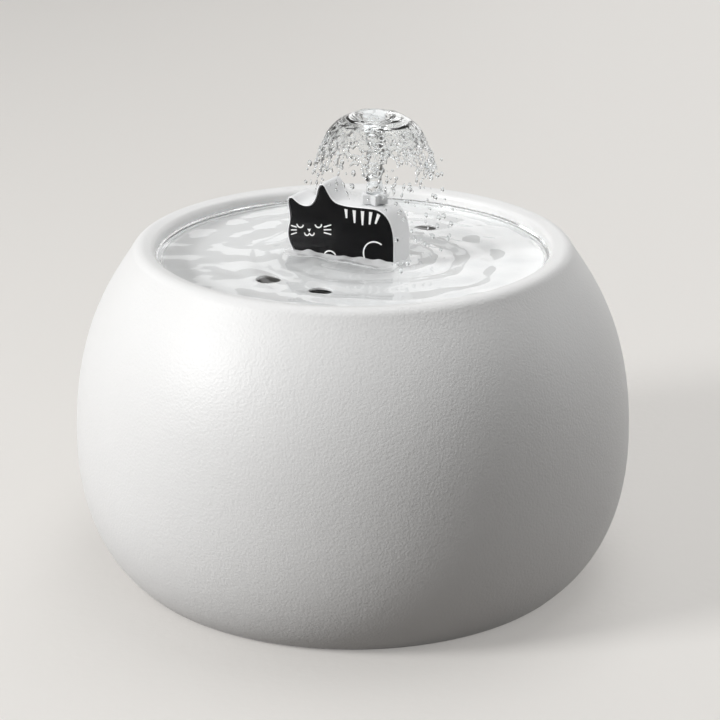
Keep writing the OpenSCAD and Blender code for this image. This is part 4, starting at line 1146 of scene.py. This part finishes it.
for node, name, body, finish, slot_name, width in [
        ("pump_box", "pump_box_tub", "bowl", box_plastic, "box_plastic", 0.35),
        ("box_lid", "pump_box_lid", "lid", white_gloss, "white_plastic", 0.3),
        ("filter_frame", "cartridge_frame", "cartridge", white_gloss, "white_plastic", 0.2),
        ("pump_housing", "pump_casing", "bowl", black_plastic, "black_plastic", 0.3),
        ("pump_potting", "pump_resin", "bowl", potting, "potting", 0.2),
        ("impeller_cover", "pump_front_cover", "pump_cover", black_plastic, "black_plastic", 0.2),
        ("flow_slider", "flow_slide", "slider", nozzle_plastic, "nozzle_grey", 0.25),
        ("impeller", "pump_impeller", "rotor", white_gloss, "white_plastic", 0.12),
        ("rotor_magnet", "rotor_ring_magnet", "rotor", magnet, "magnet", 0.3),
        ("pump_shaft", "impeller_shaft", "bowl", ceramic, "shaft_ceramic", 0.15),
        ("rear_bush", "shaft_rear_bush", "bowl", lead_rubber, "lead_rubber", 0.2),
        ("front_bush", "shaft_front_bush", "pump_cover", lead_rubber, "lead_rubber", 0.2)]:
    settle(refined(node, width), name, body, finish, node, slot=slot_name, angle=30)

# %% Room behind the slide
slide = bpy.data.objects["flow_slide"]
take(slide)
low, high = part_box("flow_slider")
bpy.ops.object.mode_set(mode="EDIT")
bpy.ops.mesh.select_all(action="DESELECT")
bpy.ops.object.mode_set(mode="OBJECT")
for point in slide.data.vertices:
    point.select = point.co.y > high.y - 0.02 * MM
bpy.ops.object.mode_set(mode="EDIT")
bpy.ops.transform.translate(value=(0, -0.05 * MM, 0))
bpy.ops.object.mode_set(mode="OBJECT")
print("the slide runs 0.05 mm off the cover's face")

# %% [markdown]
# ## Inside the motor
#
# The stator core is a stack of thin steel sheets, and the coil is enamelled copper wire wound on
# its lower bar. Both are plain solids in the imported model. Here one sheet is pressed thin from the
# core's own outline and repeated by an array, and the coil is one long wire whose path a loop works
# out: along each layer, turn by turn, then back over the next layer.

# %% Core
SHEET_PITCH, SHEET_GAP = 0.5, 0.06
core_low, core_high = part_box("stator_core")
core_sheet = refined("stator_core", 0)
core_t = (core_high.y - core_low.y) / MM
take(core_sheet)
bpy.ops.object.mode_set(mode="EDIT")
bpy.ops.mesh.select_all(action="SELECT")
bpy.ops.transform.resize(value=(1, (SHEET_PITCH - SHEET_GAP) / core_t, 1), center_override=core_low)
bpy.ops.object.mode_set(mode="OBJECT")
modify(core_sheet, "ARRAY", count=round(core_t / SHEET_PITCH), use_relative_offset=False,
       use_constant_offset=True, constant_offset_displace=(0, SHEET_PITCH * MM, 0))
core_steel = metal("core_steel", (0.42, 0.43, 0.45), 0.32)
settle(core_sheet, "stator_sheets", "bowl", core_steel, "stator_core", slot="core_steel", angle=30)

# %% Coil
coil_low, coil_high = (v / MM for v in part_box("stator_coil"))
COIL_T, WIRE_R = 2.4, 0.34
LAYERS = 3


def winding():
    """The wire's path: three layers of turns round the bar, there and back."""
    path = []
    wire = 2 * WIRE_R + 0.02
    turns = int((coil_high.x - coil_low.x - 0.4) / wire)
    middle = (coil_low + coil_high) / 2
    for layer in range(LAYERS):
        out = COIL_T - 0.06 - WIRE_R - layer * wire
        out = COIL_T - out
        half_y = (coil_high.y - coil_low.y) / 2 - COIL_T + out
        half_z = (coil_high.z - coil_low.z) / 2 - COIL_T + out
        corners = [(s * half_y, t * half_z) for s, t in ((1, 1), (-1, 1), (-1, -1), (1, -1))]
        ring = closed_rounded([(y, z, out) for y, z in corners], 3)
        for turn in range(turns):
            for k, point in enumerate(ring):
                along = 0.2 + WIRE_R + (turn + k / len(ring)) * wire * (turns - 1) / turns
                x = coil_low.x + along if layer % 2 == 0 else coil_high.x - along
                path.append((x, middle.y + point.x, middle.z + point.y))
    return path


copper = metal("copper_wire", (0.72, 0.30, 0.14), 0.22, 0.0003)
settle(tube("wire", winding(), WIRE_R, 1), "stator_winding", "bowl", copper, "stator_coil",
       slot="copper_wire", angle=60)

# %% [markdown]
# The driver board is a thin green laminate. Its solder mask shows the tracks as faint ridges, and a
# few small chips stand on the side that faces the coil. Each chip starts as a cube, gets its size,
# a drafted top by an inset and a lift, and soft edges.


# %% Board
def board_finish():
    board = Finish("board_green")
    x, y, z = board.axes()
    tracks = board.cells(0.0034, "F1", board.place((1, 0, 0.55))).step(0.25, 0.32)
    lines = ((x * 2600).sine().step(0.3, 0.6) * tracks)
    tint = board.blend(lines, (0.02, 0.12, 0.055), (0.035, 0.2, 0.09))
    return board.done(board.skin(tint, 0.3 + 0.1 * board.grain(0.002), Normal=board.relief(lines, 0.00003)))


def chip(x, z, wide, tall, y, rise):
    """One chip on the front side of the board, at y."""
    clear_selection()
    bpy.ops.mesh.primitive_cube_add(size=1, location=(0, 0, 0))
    piece = bpy.context.object
    piece.scale = (wide * MM, rise * MM, tall * MM)
    piece.location = (x * MM, (y - rise / 2) * MM, z * MM)
    bpy.ops.object.transform_apply(location=True, rotation=True, scale=True)
    front_faces(piece, y - rise)
    bpy.ops.mesh.inset(thickness=0.15 * MM)
    bpy.ops.transform.translate(value=(0, -0.08 * MM, 0))
    bpy.ops.object.mode_set(mode="OBJECT")
    return soften(piece, 0.05, 1, 30)


board_low, board_high = (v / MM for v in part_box("pump_board"))
board_mid = (board_low + board_high) / 2
CHIPS = [(0, 4, 5, 4), (-7, 7, 2, 1.2), (-7, 4.4, 2, 1.2), (6.5, 6.5, 3, 2), (7, 1, 1.2, 2), (-6.5, -1, 2.4, 1.6),
         (3, -6, 1.6, 3), (-3.5, -7, 3.2, 1.6)]
board = refined("pump_board", 0.12)
chips = [chip(board_mid.x + x, board_mid.z + z, w, h, board_low.y, 0.7) for x, z, w, h in CHIPS]
settle(board, "driver_board", "bowl", board_finish(), "pump_board", slot="board_green", angle=30)
settle(joined(*chips), "driver_board_chips", "bowl", black_plastic, slot="black_plastic", angle=30)

# %% [markdown]
# ## Foam and filter pad
#
# The foam in front of the pump's windows is a block of open-cell foam, and the cartridge holds a
# stitched pad of fleece with carbon grains inside. Neither is a flat box on the real thing. The foam
# is a rounded block whose skin is pitted by a displacement of cells, and the pad is a cushion: its
# top swells between a sewn border and two sewn channels.


# %% Foam
def block(name, low, high, cell):
    """A box from low to high, in millimetres, cut into square faces about cell wide."""
    clear_selection()
    bpy.ops.mesh.primitive_cube_add(size=1, location=(0, 0, 0))
    piece = bpy.context.object
    piece.name = name
    size = high - low
    piece.scale = size * MM
    piece.location = (low + high) / 2 * MM
    bpy.ops.object.transform_apply(location=True, rotation=True, scale=True)
    for axis in range(3):
        normal = [0, 0, 0]
        normal[axis] = 1
        bpy.ops.object.mode_set(mode="EDIT")
        count = max(1, round(size[axis] / cell))
        for k in range(1, count):
            spot = (low + size * (k / count)) * MM
            bpy.ops.mesh.select_all(action="SELECT")
            bpy.ops.mesh.bisect(plane_co=spot, plane_no=normal)
        bpy.ops.object.mode_set(mode="OBJECT")
    return piece


def foam_finish():
    foam = Finish("foam")
    pores = foam.cells(0.0016)
    small = foam.cells(0.0008)
    # Painted shade: the pits at the cell centres are painted darker than the dark grey foam around them
    tint = foam.blend(pores.step(0.15, 0.6), (0.012, 0.013, 0.014), (0.085, 0.09, 0.095))
    normal = foam.relief(pores * 0.7 + small * 0.3, 0.0006)
    return foam.done(foam.skin(tint, 0.9 + 0.05 * small, Normal=normal, Sheen_Weight=0.2))


def make_foam():
    low, high = (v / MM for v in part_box("foam_block"))
    hair = Vector((0.2, 0.2, 0.2))
    foam = block("foam", low + hair, high - hair, 1.1)
    modify(foam, "SUBSURF", levels=1, render_levels=1)
    for point in foam.data.vertices:
        place = point.co / MM
        pit = noise.voronoi(place * 0.75)[0]
        inward = (low + high) / 2 - place
        depth = 0.5 * max(0.0, 0.62 - pit[0])
        point.co += inward.normalized() * depth * MM
    return foam


foam = settle(make_foam(), "prefilter_foam", "bowl", foam_finish(), "foam_block", slot="foam", angle=80)


# %% Filter pad
def fleece_finish():
    fleece = Finish("filter_cloth")
    fibres = fleece.grain(0.0007, fleece.place((1, 3.2, 1), (0, 0, 0.6)), detail=4, rough=0.7)
    cross = fleece.grain(0.0007, fleece.place((3.2, 1, 1), (0, 0, 0.3)), detail=4, rough=0.7)
    felt = fibres.larger(cross)
    grains = fleece.cells(0.0019).step(0.30, 0.12)
    tint = fleece.blend(felt, (0.56, 0.58, 0.59), (0.72, 0.74, 0.75))
    dark = fleece.blend(grains * 0.55, tint, (0.08, 0.085, 0.09))
    return fleece.done(fleece.skin(dark, 0.85 + 0.1 * felt, Normal=fleece.relief(felt, 0.00018),
                                   Sheen_Weight=0.3))


def make_pad():
    low, high = (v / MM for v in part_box("filter_pad"))
    pad = block("pad", low + Vector((0.1, 0.1, 0.05)), high - Vector((0.1, 0.1, 1.2)), 0.9)
    middle, half = (low + high) / 2, (high - low) / 2
    for point in pad.data.vertices:
        place = point.co / MM
        u, v = abs(place.x - middle.x) / half.x, abs(place.y - middle.y) / half.y
        edge = min(1.0, (1 - u) * half.x / 2.2, (1 - v) * half.y / 2.2)
        channel = min(1.0, abs(abs(place.x - middle.x) - half.x / 3) / 2.4)
        swell = math.sin(0.5 * math.pi * max(0.0, edge)) * (0.35 + 0.65 * math.sin(0.5 * math.pi * channel))
        up = (place.z - low.z) / (high.z - low.z)
        top = (swell * 1.15 - 0.35) + 0.12 * noise.noise(place * 0.3)
        point.co.z += up * top * MM
        pull = 0.35 * math.sin(math.pi * up) if max(u, v) > 0.97 else 0.0
        point.co.x -= math.copysign(pull * MM, place.x - middle.x) * (u > 0.97)
        point.co.y -= math.copysign(pull * MM, place.y - middle.y) * (v > 0.97)
    return modify(pad, "SUBSURF", levels=1, render_levels=1)


filter_pad = settle(make_pad(), "filter_fleece", "cartridge", fleece_finish(), "filter_pad",
                    slot="filter_cloth", angle=80)

# %% [markdown]
# ## The water
#
# Water is a clear solid with a refractive index of 1.33. Real light gathers in bright lines under
# ripples, and a path tracer can't find those lines in a few samples, so lamp light passes the
# water straight, and a net of soft bands in the shader thins it here and there: painted shade, so
# the tray below shows grey streaks that follow the ripples. Over the drain holes the pool has no
# lower face to the eye, because there its water runs on down, and the dark tank shows. Close to
# the cat's front the falling drops beat air into the water, so a white froth hides what is below.


# %% Water finish
def water_finish(name, pool):
    water = Finish(name)
    body = water.skin((0.97, 0.985, 0.99), 0.05 if pool else 0.0, IOR=1.33, Transmission_Weight=1.0)
    clear = water.node("ShaderNodeBsdfTransparent", {}, {"Color": (1, 1, 1, 1)})
    rays = water.rays()
    passing = Wire(water, rays["Is Shadow Ray"]).larger(Wire(water, rays["Is Diffuse Ray"]))
    share = passing * 0.96
    if pool:
        x, y, z = water.axes()
        east, north = x - SPOUT_X * MM, y - SPOUT_Y * MM
        drift = water.grain(0.03, detail=2, warp=0.4)
        away = (east * east + north * north) ** 0.5
        rings = (away * 560 + drift * 16).sine().step(0.2, 0.8)
        cells = water.cells(0.012, "SMOOTH_F1", water.place((0.8, 1.25, 1))).step(0.35, 0.75)
        fine = water.grain(0.0085, water.place((0.7, 1.5, 1)), detail=1.5, warp=1.2).step(0.45, 0.58)
        where = water.grain(0.022, detail=1).step(0.38, 0.62)
        # Painted shade: these bands thin the lamp light through the pool, so the tray shows grey streaks
        shade_bands = rings * where * 0.55 + fine * drift.step(0.35, 0.6) * 0.35 + cells * 0.2
        nearest = None
        for hole_x, hole_y in DRAINS:
            side, deep = x - hole_x * MM, y - hole_y * MM
            away = (side * side + deep * deep) ** 0.5
            nearest = nearest.smaller(away) if nearest else away
        open_below = nearest.step(0.0047, 0.0044) * z.step(0.1164, 0.1161)
        share = (passing * (0.98 - 0.52 * shade_bands)).larger(open_below)
        c, s = math.cos(SPOUT_TURN), math.sin(SPOUT_TURN)
        along, across = east * c + north * s, north * c - east * s
        before = CAT_FRONT * MM - across
        beside = along.step(0.0145, 0.0125) * along.step(-0.0345, -0.0315)
        lumps = water.grain(0.006, detail=2)
        froth = (before - lumps * 0.006).step(0.0033, -0.0012) * before.step(-0.001, 0) * beside
        white = water.skin((0.9, 0.905, 0.91), 0.3)
        body = water.node("ShaderNodeMixShader", {}, {0: froth * 0.86 * z.step(0.1175, 0.1185), 1: body, 2: white})
    return water.done(water.node("ShaderNodeMixShader", {}, {0: share, 1: body, 2: clear}))


# %% [markdown]
# ## The pool
#
# The pool is a thin disc of water on the tray. Drops fall in a ring around the nozzle, so waves run
# outwards from that ring, cross the echoes from the wall, and grow small and short where they meet.
# The wave modifier makes only one clean set of rings. The pool is spun with a fine surface and each
# of its points is raised by a sum of waves from several sources, which gives the restless look.

# %% Pool
POOL_Z, POOL_R, POOL_LOW = 120.0, 73.18, 115.9
POOL_STEPS = 320
FALL_R, RING_WAVE = 22.0, 13.5
random.seed(7)
drip_places = []
for k in range(9):
    turn, far = random.uniform(0, 2 * math.pi), random.uniform(16, 52)
    drip_places.append((SPOUT_X + far * math.cos(turn), SPOUT_Y + far * math.sin(turn),
                        random.uniform(7.5, 11), random.uniform(0, 6.28), random.uniform(0.08, 0.16)))


def on_spout(x, y):
    """A place on the tray as a place along and across the spout."""
    c, s = math.cos(SPOUT_TURN), math.sin(SPOUT_TURN)
    return c * (x - SPOUT_X) + s * (y - SPOUT_Y), c * (y - SPOUT_Y) - s * (x - SPOUT_X)


def heap(x, y):
    """Water that the falling drops pile up against the cat, most of all at its front."""
    along, across = on_spout(x, y)
    beside = max(0.0, CAT[0][0][0] - along, along - 11.3)
    front, back = max(0.0, CAT_FRONT - across), max(0.0, across - CAT_BACK)
    reach = math.hypot(beside, front + back)
    lumps = 1 + 0.9 * noise.noise(Vector((along * 0.22, across * 0.12, 8)))
    return (1.25 if across < 0 else 0.5) * lumps * math.exp(-reach / 3.2)


def swell(x, y):
    """Height of the pool's surface over its level, in millimetres."""
    warp = 5 * noise.noise(Vector((x * 0.045, y * 0.045, 3.1)))
    ring = math.hypot(x - SPOUT_X, y - SPOUT_Y) + warp - FALL_R
    height = 0.5 * math.cos(2 * math.pi * ring / RING_WAVE) * math.exp(-abs(ring) / 34)
    for px, py, length, phase, size in drip_places:
        far = math.hypot(x - px, y - py) + 0.5 * warp
        height += size * math.cos(2 * math.pi * far / length + phase) * math.exp(-far / 13)
    height += 0.6 * noise.noise(Vector((x * 0.055, y * 0.08, 0)))
    height += 0.1 * noise.noise(Vector((x * 0.15, y * 0.2, 5)))
    height *= min(1.0, max(0.4, (x + 75) / 45))
    from_wall = POOL_R - math.hypot(x, y)
    calm = min(1.0, max(0.0, from_wall / 6))
    return height * (0.35 + 0.65 * calm) + 0.7 * math.exp(-from_wall / 1.1) + heap(x, y)


def make_pool():
    rings = 120
    top = [((POOL_R - 0.0) * (i / rings) ** 0.85, POOL_Z) for i in range(rings + 1)]
    pool = turned("pool", [(0, POOL_LOW), (70.7, POOL_LOW), (70.9, EDGE_TOP + 0.05), (POOL_R, EDGE_TOP + 0.1)]
                  + list(reversed(top)), POOL_STEPS)
    for point in pool.data.vertices:
        if point.co.z > (POOL_Z - 0.01) * MM:
            point.co.z += swell(point.co.x / MM, point.co.y / MM) * MM
    return pool


pool_water = water_finish("pool_water", True)
settle(make_pool(), "pool", "tray", pool_water, slot="water", angle=180)

# %% [markdown]
# ## The jet and its dome
#
# The jet rises as a clear column, spreads against its own falling water into a smooth cap, and the
# cap's edge thins until it tears: first into a rippled net, then into strands and drops. A fluid
# simulation could do it, but it would take long and be hard to steer. Instead the column and cap
# are turned solids, the falling sheet is a spun surface from which holes are picked where a net
# of cells says so, and everything is thickened, melted together by a voxel remesh and smoothed.

# %% Shape of the dome
JET_FOOT = TRAY_Z + STEM_TOP + STAR_H - CROWN_DEPTH
APEX_Z = TRAY_Z + 59.6
DOME = [[(0, 0), (9, 0), (15, -4), (17.5, -9.5)],
        [(17.5, -9.5), (19.8, -14.5), (22.6, -19), (23.3, -27)]]
SHEET_STEPS, SHEET_ROWS = 420, 92


def dome_line(count):
    """The dome's section from the apex outwards and down, at heights over the floor."""
    first, second = (curve_line(c, count) for c in DOME)
    return [Vector((p.x, p.y + APEX_Z)) for p in first + second[1:]]


def make_jet_core():
    """Column, funnel and the thick middle of the cap, as one turned solid."""
    cap = [p for p in dome_line(30) if p.x < 13.5]
    under = []
    for p in reversed(cap):
        if p.x > 6.5:
            thick = 0.9 + 1.1 * (13.5 - p.x) / 7 + 0.14 * math.sin(p.x * 2.3)
            under.append((p.x, p.y - thick))
    funnel = [(5.2, APEX_Z - 4.4), (4.3, APEX_Z - 6.2), (3.5, APEX_Z - 9), (3.05, APEX_Z - 13)]
    column = [(2.95, APEX_Z - 17), (3.0, APEX_Z - 22), (2.75, JET_FOOT + 6), (3.1, JET_FOOT + 3),
              (3.0, JET_FOOT + 0.6), (2.2, JET_FOOT)]
    line = [(p.x, p.y) for p in cap] + under + funnel + column + [(0, JET_FOOT)]
    core = turned("jet_core", line, 96)
    for point in core.data.vertices:
        z = point.co.z / MM
        if z > APEX_Z - 5:
            wave = noise.noise(Vector((point.co.x / MM * 0.2, point.co.y / MM * 0.13, z * 0.5)))
            point.co.z += 0.5 * wave * MM
        else:
            push = noise.noise(Vector((point.co.x / MM * 0.25, point.co.y / MM * 0.25, z * 0.16)))
            wide = 1 + 0.22 * push
            point.co.x *= wide
            point.co.y *= wide
    return core


def net(angle, along, wide, seed):
    """How near a place on the sheet is to the walls between cells, from 0 on a wall upwards."""
    spot = Vector((math.cos(angle) * wide, math.sin(angle) * wide, along)) * 0.43
    spot += 0.5 * Vector((noise.noise(spot * 1.3), noise.noise(spot * 1.3 + Vector((9, 2, 4))), seed))
    near = noise.voronoi(spot)[0]
    return near[1] - near[0]


def make_sheet():
    """The thin skin of the dome below its cap, ridged, and torn more and more towards its edge."""
    line = [p for p in dome_line(SHEET_ROWS) if p.x > 11.0]
    sheet = turned("jet_sheet", [(p.x, p.y) for p in line], SHEET_STEPS)
    for point in sheet.data.vertices:
        x, y, z = point.co / MM
        down = APEX_Z - z
        ripple = noise.noise(Vector((x * 0.33, y * 0.33, z * 0.33)))
        fine = noise.noise(Vector((x * 0.8, y * 0.8, z * 0.8 + 7)))
        wide = 1 + min(1.0, down / 10) * (0.030 * ripple + 0.020 * fine)
        point.co.x *= wide
        point.co.y *= wide
    for face in sheet.data.polygons:
        x, y, z = face.center / MM
        down = APEX_Z - z
        angle, wide = math.atan2(y, x), math.hypot(x, y)
        ragged = down + 5.5 * noise.noise(Vector((x * 0.09, y * 0.09, 2.2)))
        width = 0.62 - 0.06 * max(0.0, ragged - 4.0)
        torn = net(angle, z, wide, 0.0) > max(width, 0.13)
        gone = ragged > 17 + 12 * noise.noise(Vector((x * 0.3, y * 0.3, z * 0.13)))
        face.select = torn and ragged > 4.0 or gone
    take(sheet)
    bpy.ops.object.mode_set(mode="EDIT")
    bpy.ops.mesh.select_mode(type="FACE")
    bpy.ops.object.mode_set(mode="OBJECT")
    bpy.ops.object.mode_set(mode="EDIT")
    bpy.ops.mesh.delete(type="FACE")
    bpy.ops.object.mode_set(mode="OBJECT")
    modify(sheet, "SOLIDIFY", thickness=0.6 * MM, offset=-1.0)
    facing = [Vector(point.normal) for point in sheet.data.vertices]
    for point, way in zip(sheet.data.vertices, facing):
        x, y, z = point.co / MM
        out = Vector((x, y, 0)).normalized()
        if way.dot(out) > 0.2:
            ridge = max(0.0, 0.5 - net(math.atan2(y, x), z, math.hypot(x, y), 0.0))
            point.co += out * ridge * min(1.0, (APEX_Z - z) / 6) * MM
    return sheet


def melted(piece, voxel, rounds, share=0.5):
    """Melts loose parts into one smooth closed skin."""
    modify(piece, "REMESH", mode="VOXEL", voxel_size=voxel * MM, use_smooth_shade=True)
    return modify(piece, "SMOOTH", factor=share, iterations=rounds)


def drop(radius=1.0):
    """One small ball of water."""
    clear_selection()
    bpy.ops.mesh.primitive_ico_sphere_add(subdivisions=3, radius=radius * MM)
    return bpy.context.object


def scattered(piece, spots):
    """Copies of a small piece at many (place, size) spots, joined into one. The first one goes."""
    made = []
    for place, size in spots:
        twin = piece.copy()
        twin.data = piece.data.copy()
        bpy.context.collection.objects.link(twin)
        twin.location = Vector(place) * MM
        twin.scale = size if isinstance(size, tuple) else (size, size, size)
        made.append(twin)
    bpy.data.objects.remove(piece)
    whole = joined(*made)
    bpy.ops.object.transform_apply(location=True, rotation=True, scale=True)
    return whole


def falling(turn, down, stray=0.0):
    """A place on the water's way down, at an angle and a height under the apex."""
    path = dome_line(24)
    for a, b in zip(path, path[1:]):
        if a.y >= APEX_Z - down >= b.y:
            share = (a.y - (APEX_Z - down)) / max(a.y - b.y, 1e-6)
            wide = a.x + share * (b.x - a.x)
            break
    else:
        wide = path[-1].x + 0.12 * (down - (APEX_Z - path[-1].y))
    return Vector(((wide + stray) * math.cos(turn), (wide + stray) * math.sin(turn), APEX_Z - down))


def make_strands():
    """Short threads of water that hang below the net, thick and thin by turns."""
    made = []
    for k in range(46):
        turn, top, long = random.uniform(0, 2 * math.pi), random.uniform(9, 22), random.uniform(2.5, 8)
        lean = random.uniform(-0.05, 0.05)
        spots = []
        for i in range(int(long / 0.45)):
            down = top + 0.45 * i
            radius = 0.42 + 0.24 * math.sin(2.1 * down + k) - 0.012 * i
            spots.append((falling(turn + lean * i * 0.45, down), max(radius, 0.24)))
        made.append(scattered(drop(), spots))
    return made


def make_foot_blobs():
    """Lumps where falling water meets the rising column."""
    spots = []
    for k in range(9):
        turn, high = random.uniform(0, 2 * math.pi), random.uniform(3.5, 11)
        spots.append(((2.9 * math.cos(turn), 2.9 * math.sin(turn), JET_FOOT + high),
                      (random.uniform(0.7, 1.3),) * 2 + (random.uniform(0.8, 1.9),)))
    return scattered(drop(), spots)


def make_jet():
    whole = joined(make_jet_core(), make_sheet(), make_foot_blobs(), *make_strands())
    jet = melted(whole, 0.32, 4)
    return place_fixed(jet, (SPOUT_X * MM, SPOUT_Y * MM, 0))


jet_water = water_finish("jet_water", False)
jet = settle(make_jet(), "water_dome", "nozzle", jet_water, "water_jet", slot="water", angle=180)

# %% [markdown]
# ## Drops
#
# Below the torn edge the water falls as free drops, a little stretched, and more of them the lower
# they are. Some have landed on the cat, where they sit as flat beads, and some float for a moment on
# the pool as bubbles. One small ball is copied to all those places: along the way of the falling
# water, on randomly picked faces of the shell, and around the cat's feet.

# %% Falling drops
random.seed(21)
fall = []
for k in range(210):
    turn = random.uniform(0, 2 * math.pi)
    down = 11 + 43 * random.random() ** 1.1
    radius = random.choice((0.26, 0.36, 0.48, 0.62, 0.8))
    stray = random.gauss(0, 1) * (1.1 + 0.075 * (down - 11))
    place = falling(turn, down, stray) + Vector((SPOUT_X, SPOUT_Y, 0))
    along, across = on_spout(place.x, place.y)
    near_cat = -36 < along < 14 and across < 8 and place.z < TRAY_Z + 32
    if place.z > POOL_Z + 1.5 and not near_cat:
        fall.append((place, (radius, radius, radius * random.uniform(1.0, 1.6))))
settle(scattered(drop(), fall), "falling_drops", "nozzle", jet_water, slot="water", angle=180)

# %% Beads on the shell
shell_mesh = bpy.data.objects["spout_case"].data
wet = [f for f in shell_mesh.polygons if f.normal.z > 0.3 or f.normal.x > 0.6]
beads = []
for face in random.choices(wet, weights=[f.area for f in wet], k=30):
    radius = random.uniform(0.35, 0.85)
    flat = [radius * (1 - 0.45 * abs(n)) for n in face.normal]
    beads.append((face.center / MM, tuple(flat)))
settle(scattered(drop(), beads), "shell_beads", "spout", jet_water, slot="water", angle=180)

# %% Bubbles on the pool
bubbles = []
for k in range(34):
    along, across = random.uniform(-27, 16), CAT_FRONT - abs(random.gauss(0, 3.2)) - 1.6
    if k % 3 == 0:
        along, across = 12.5 + abs(random.gauss(0, 9)), random.uniform(-9, 9)
    x, y = at_spout(along, across)
    radius = random.choice((0.22, 0.28, 0.36, 0.48))
    bubbles.append(((x, y, POOL_Z + swell(x, y)), radius))
settle(scattered(drop(), bubbles), "pool_bubbles", "tray", jet_water, slot="water", angle=180)
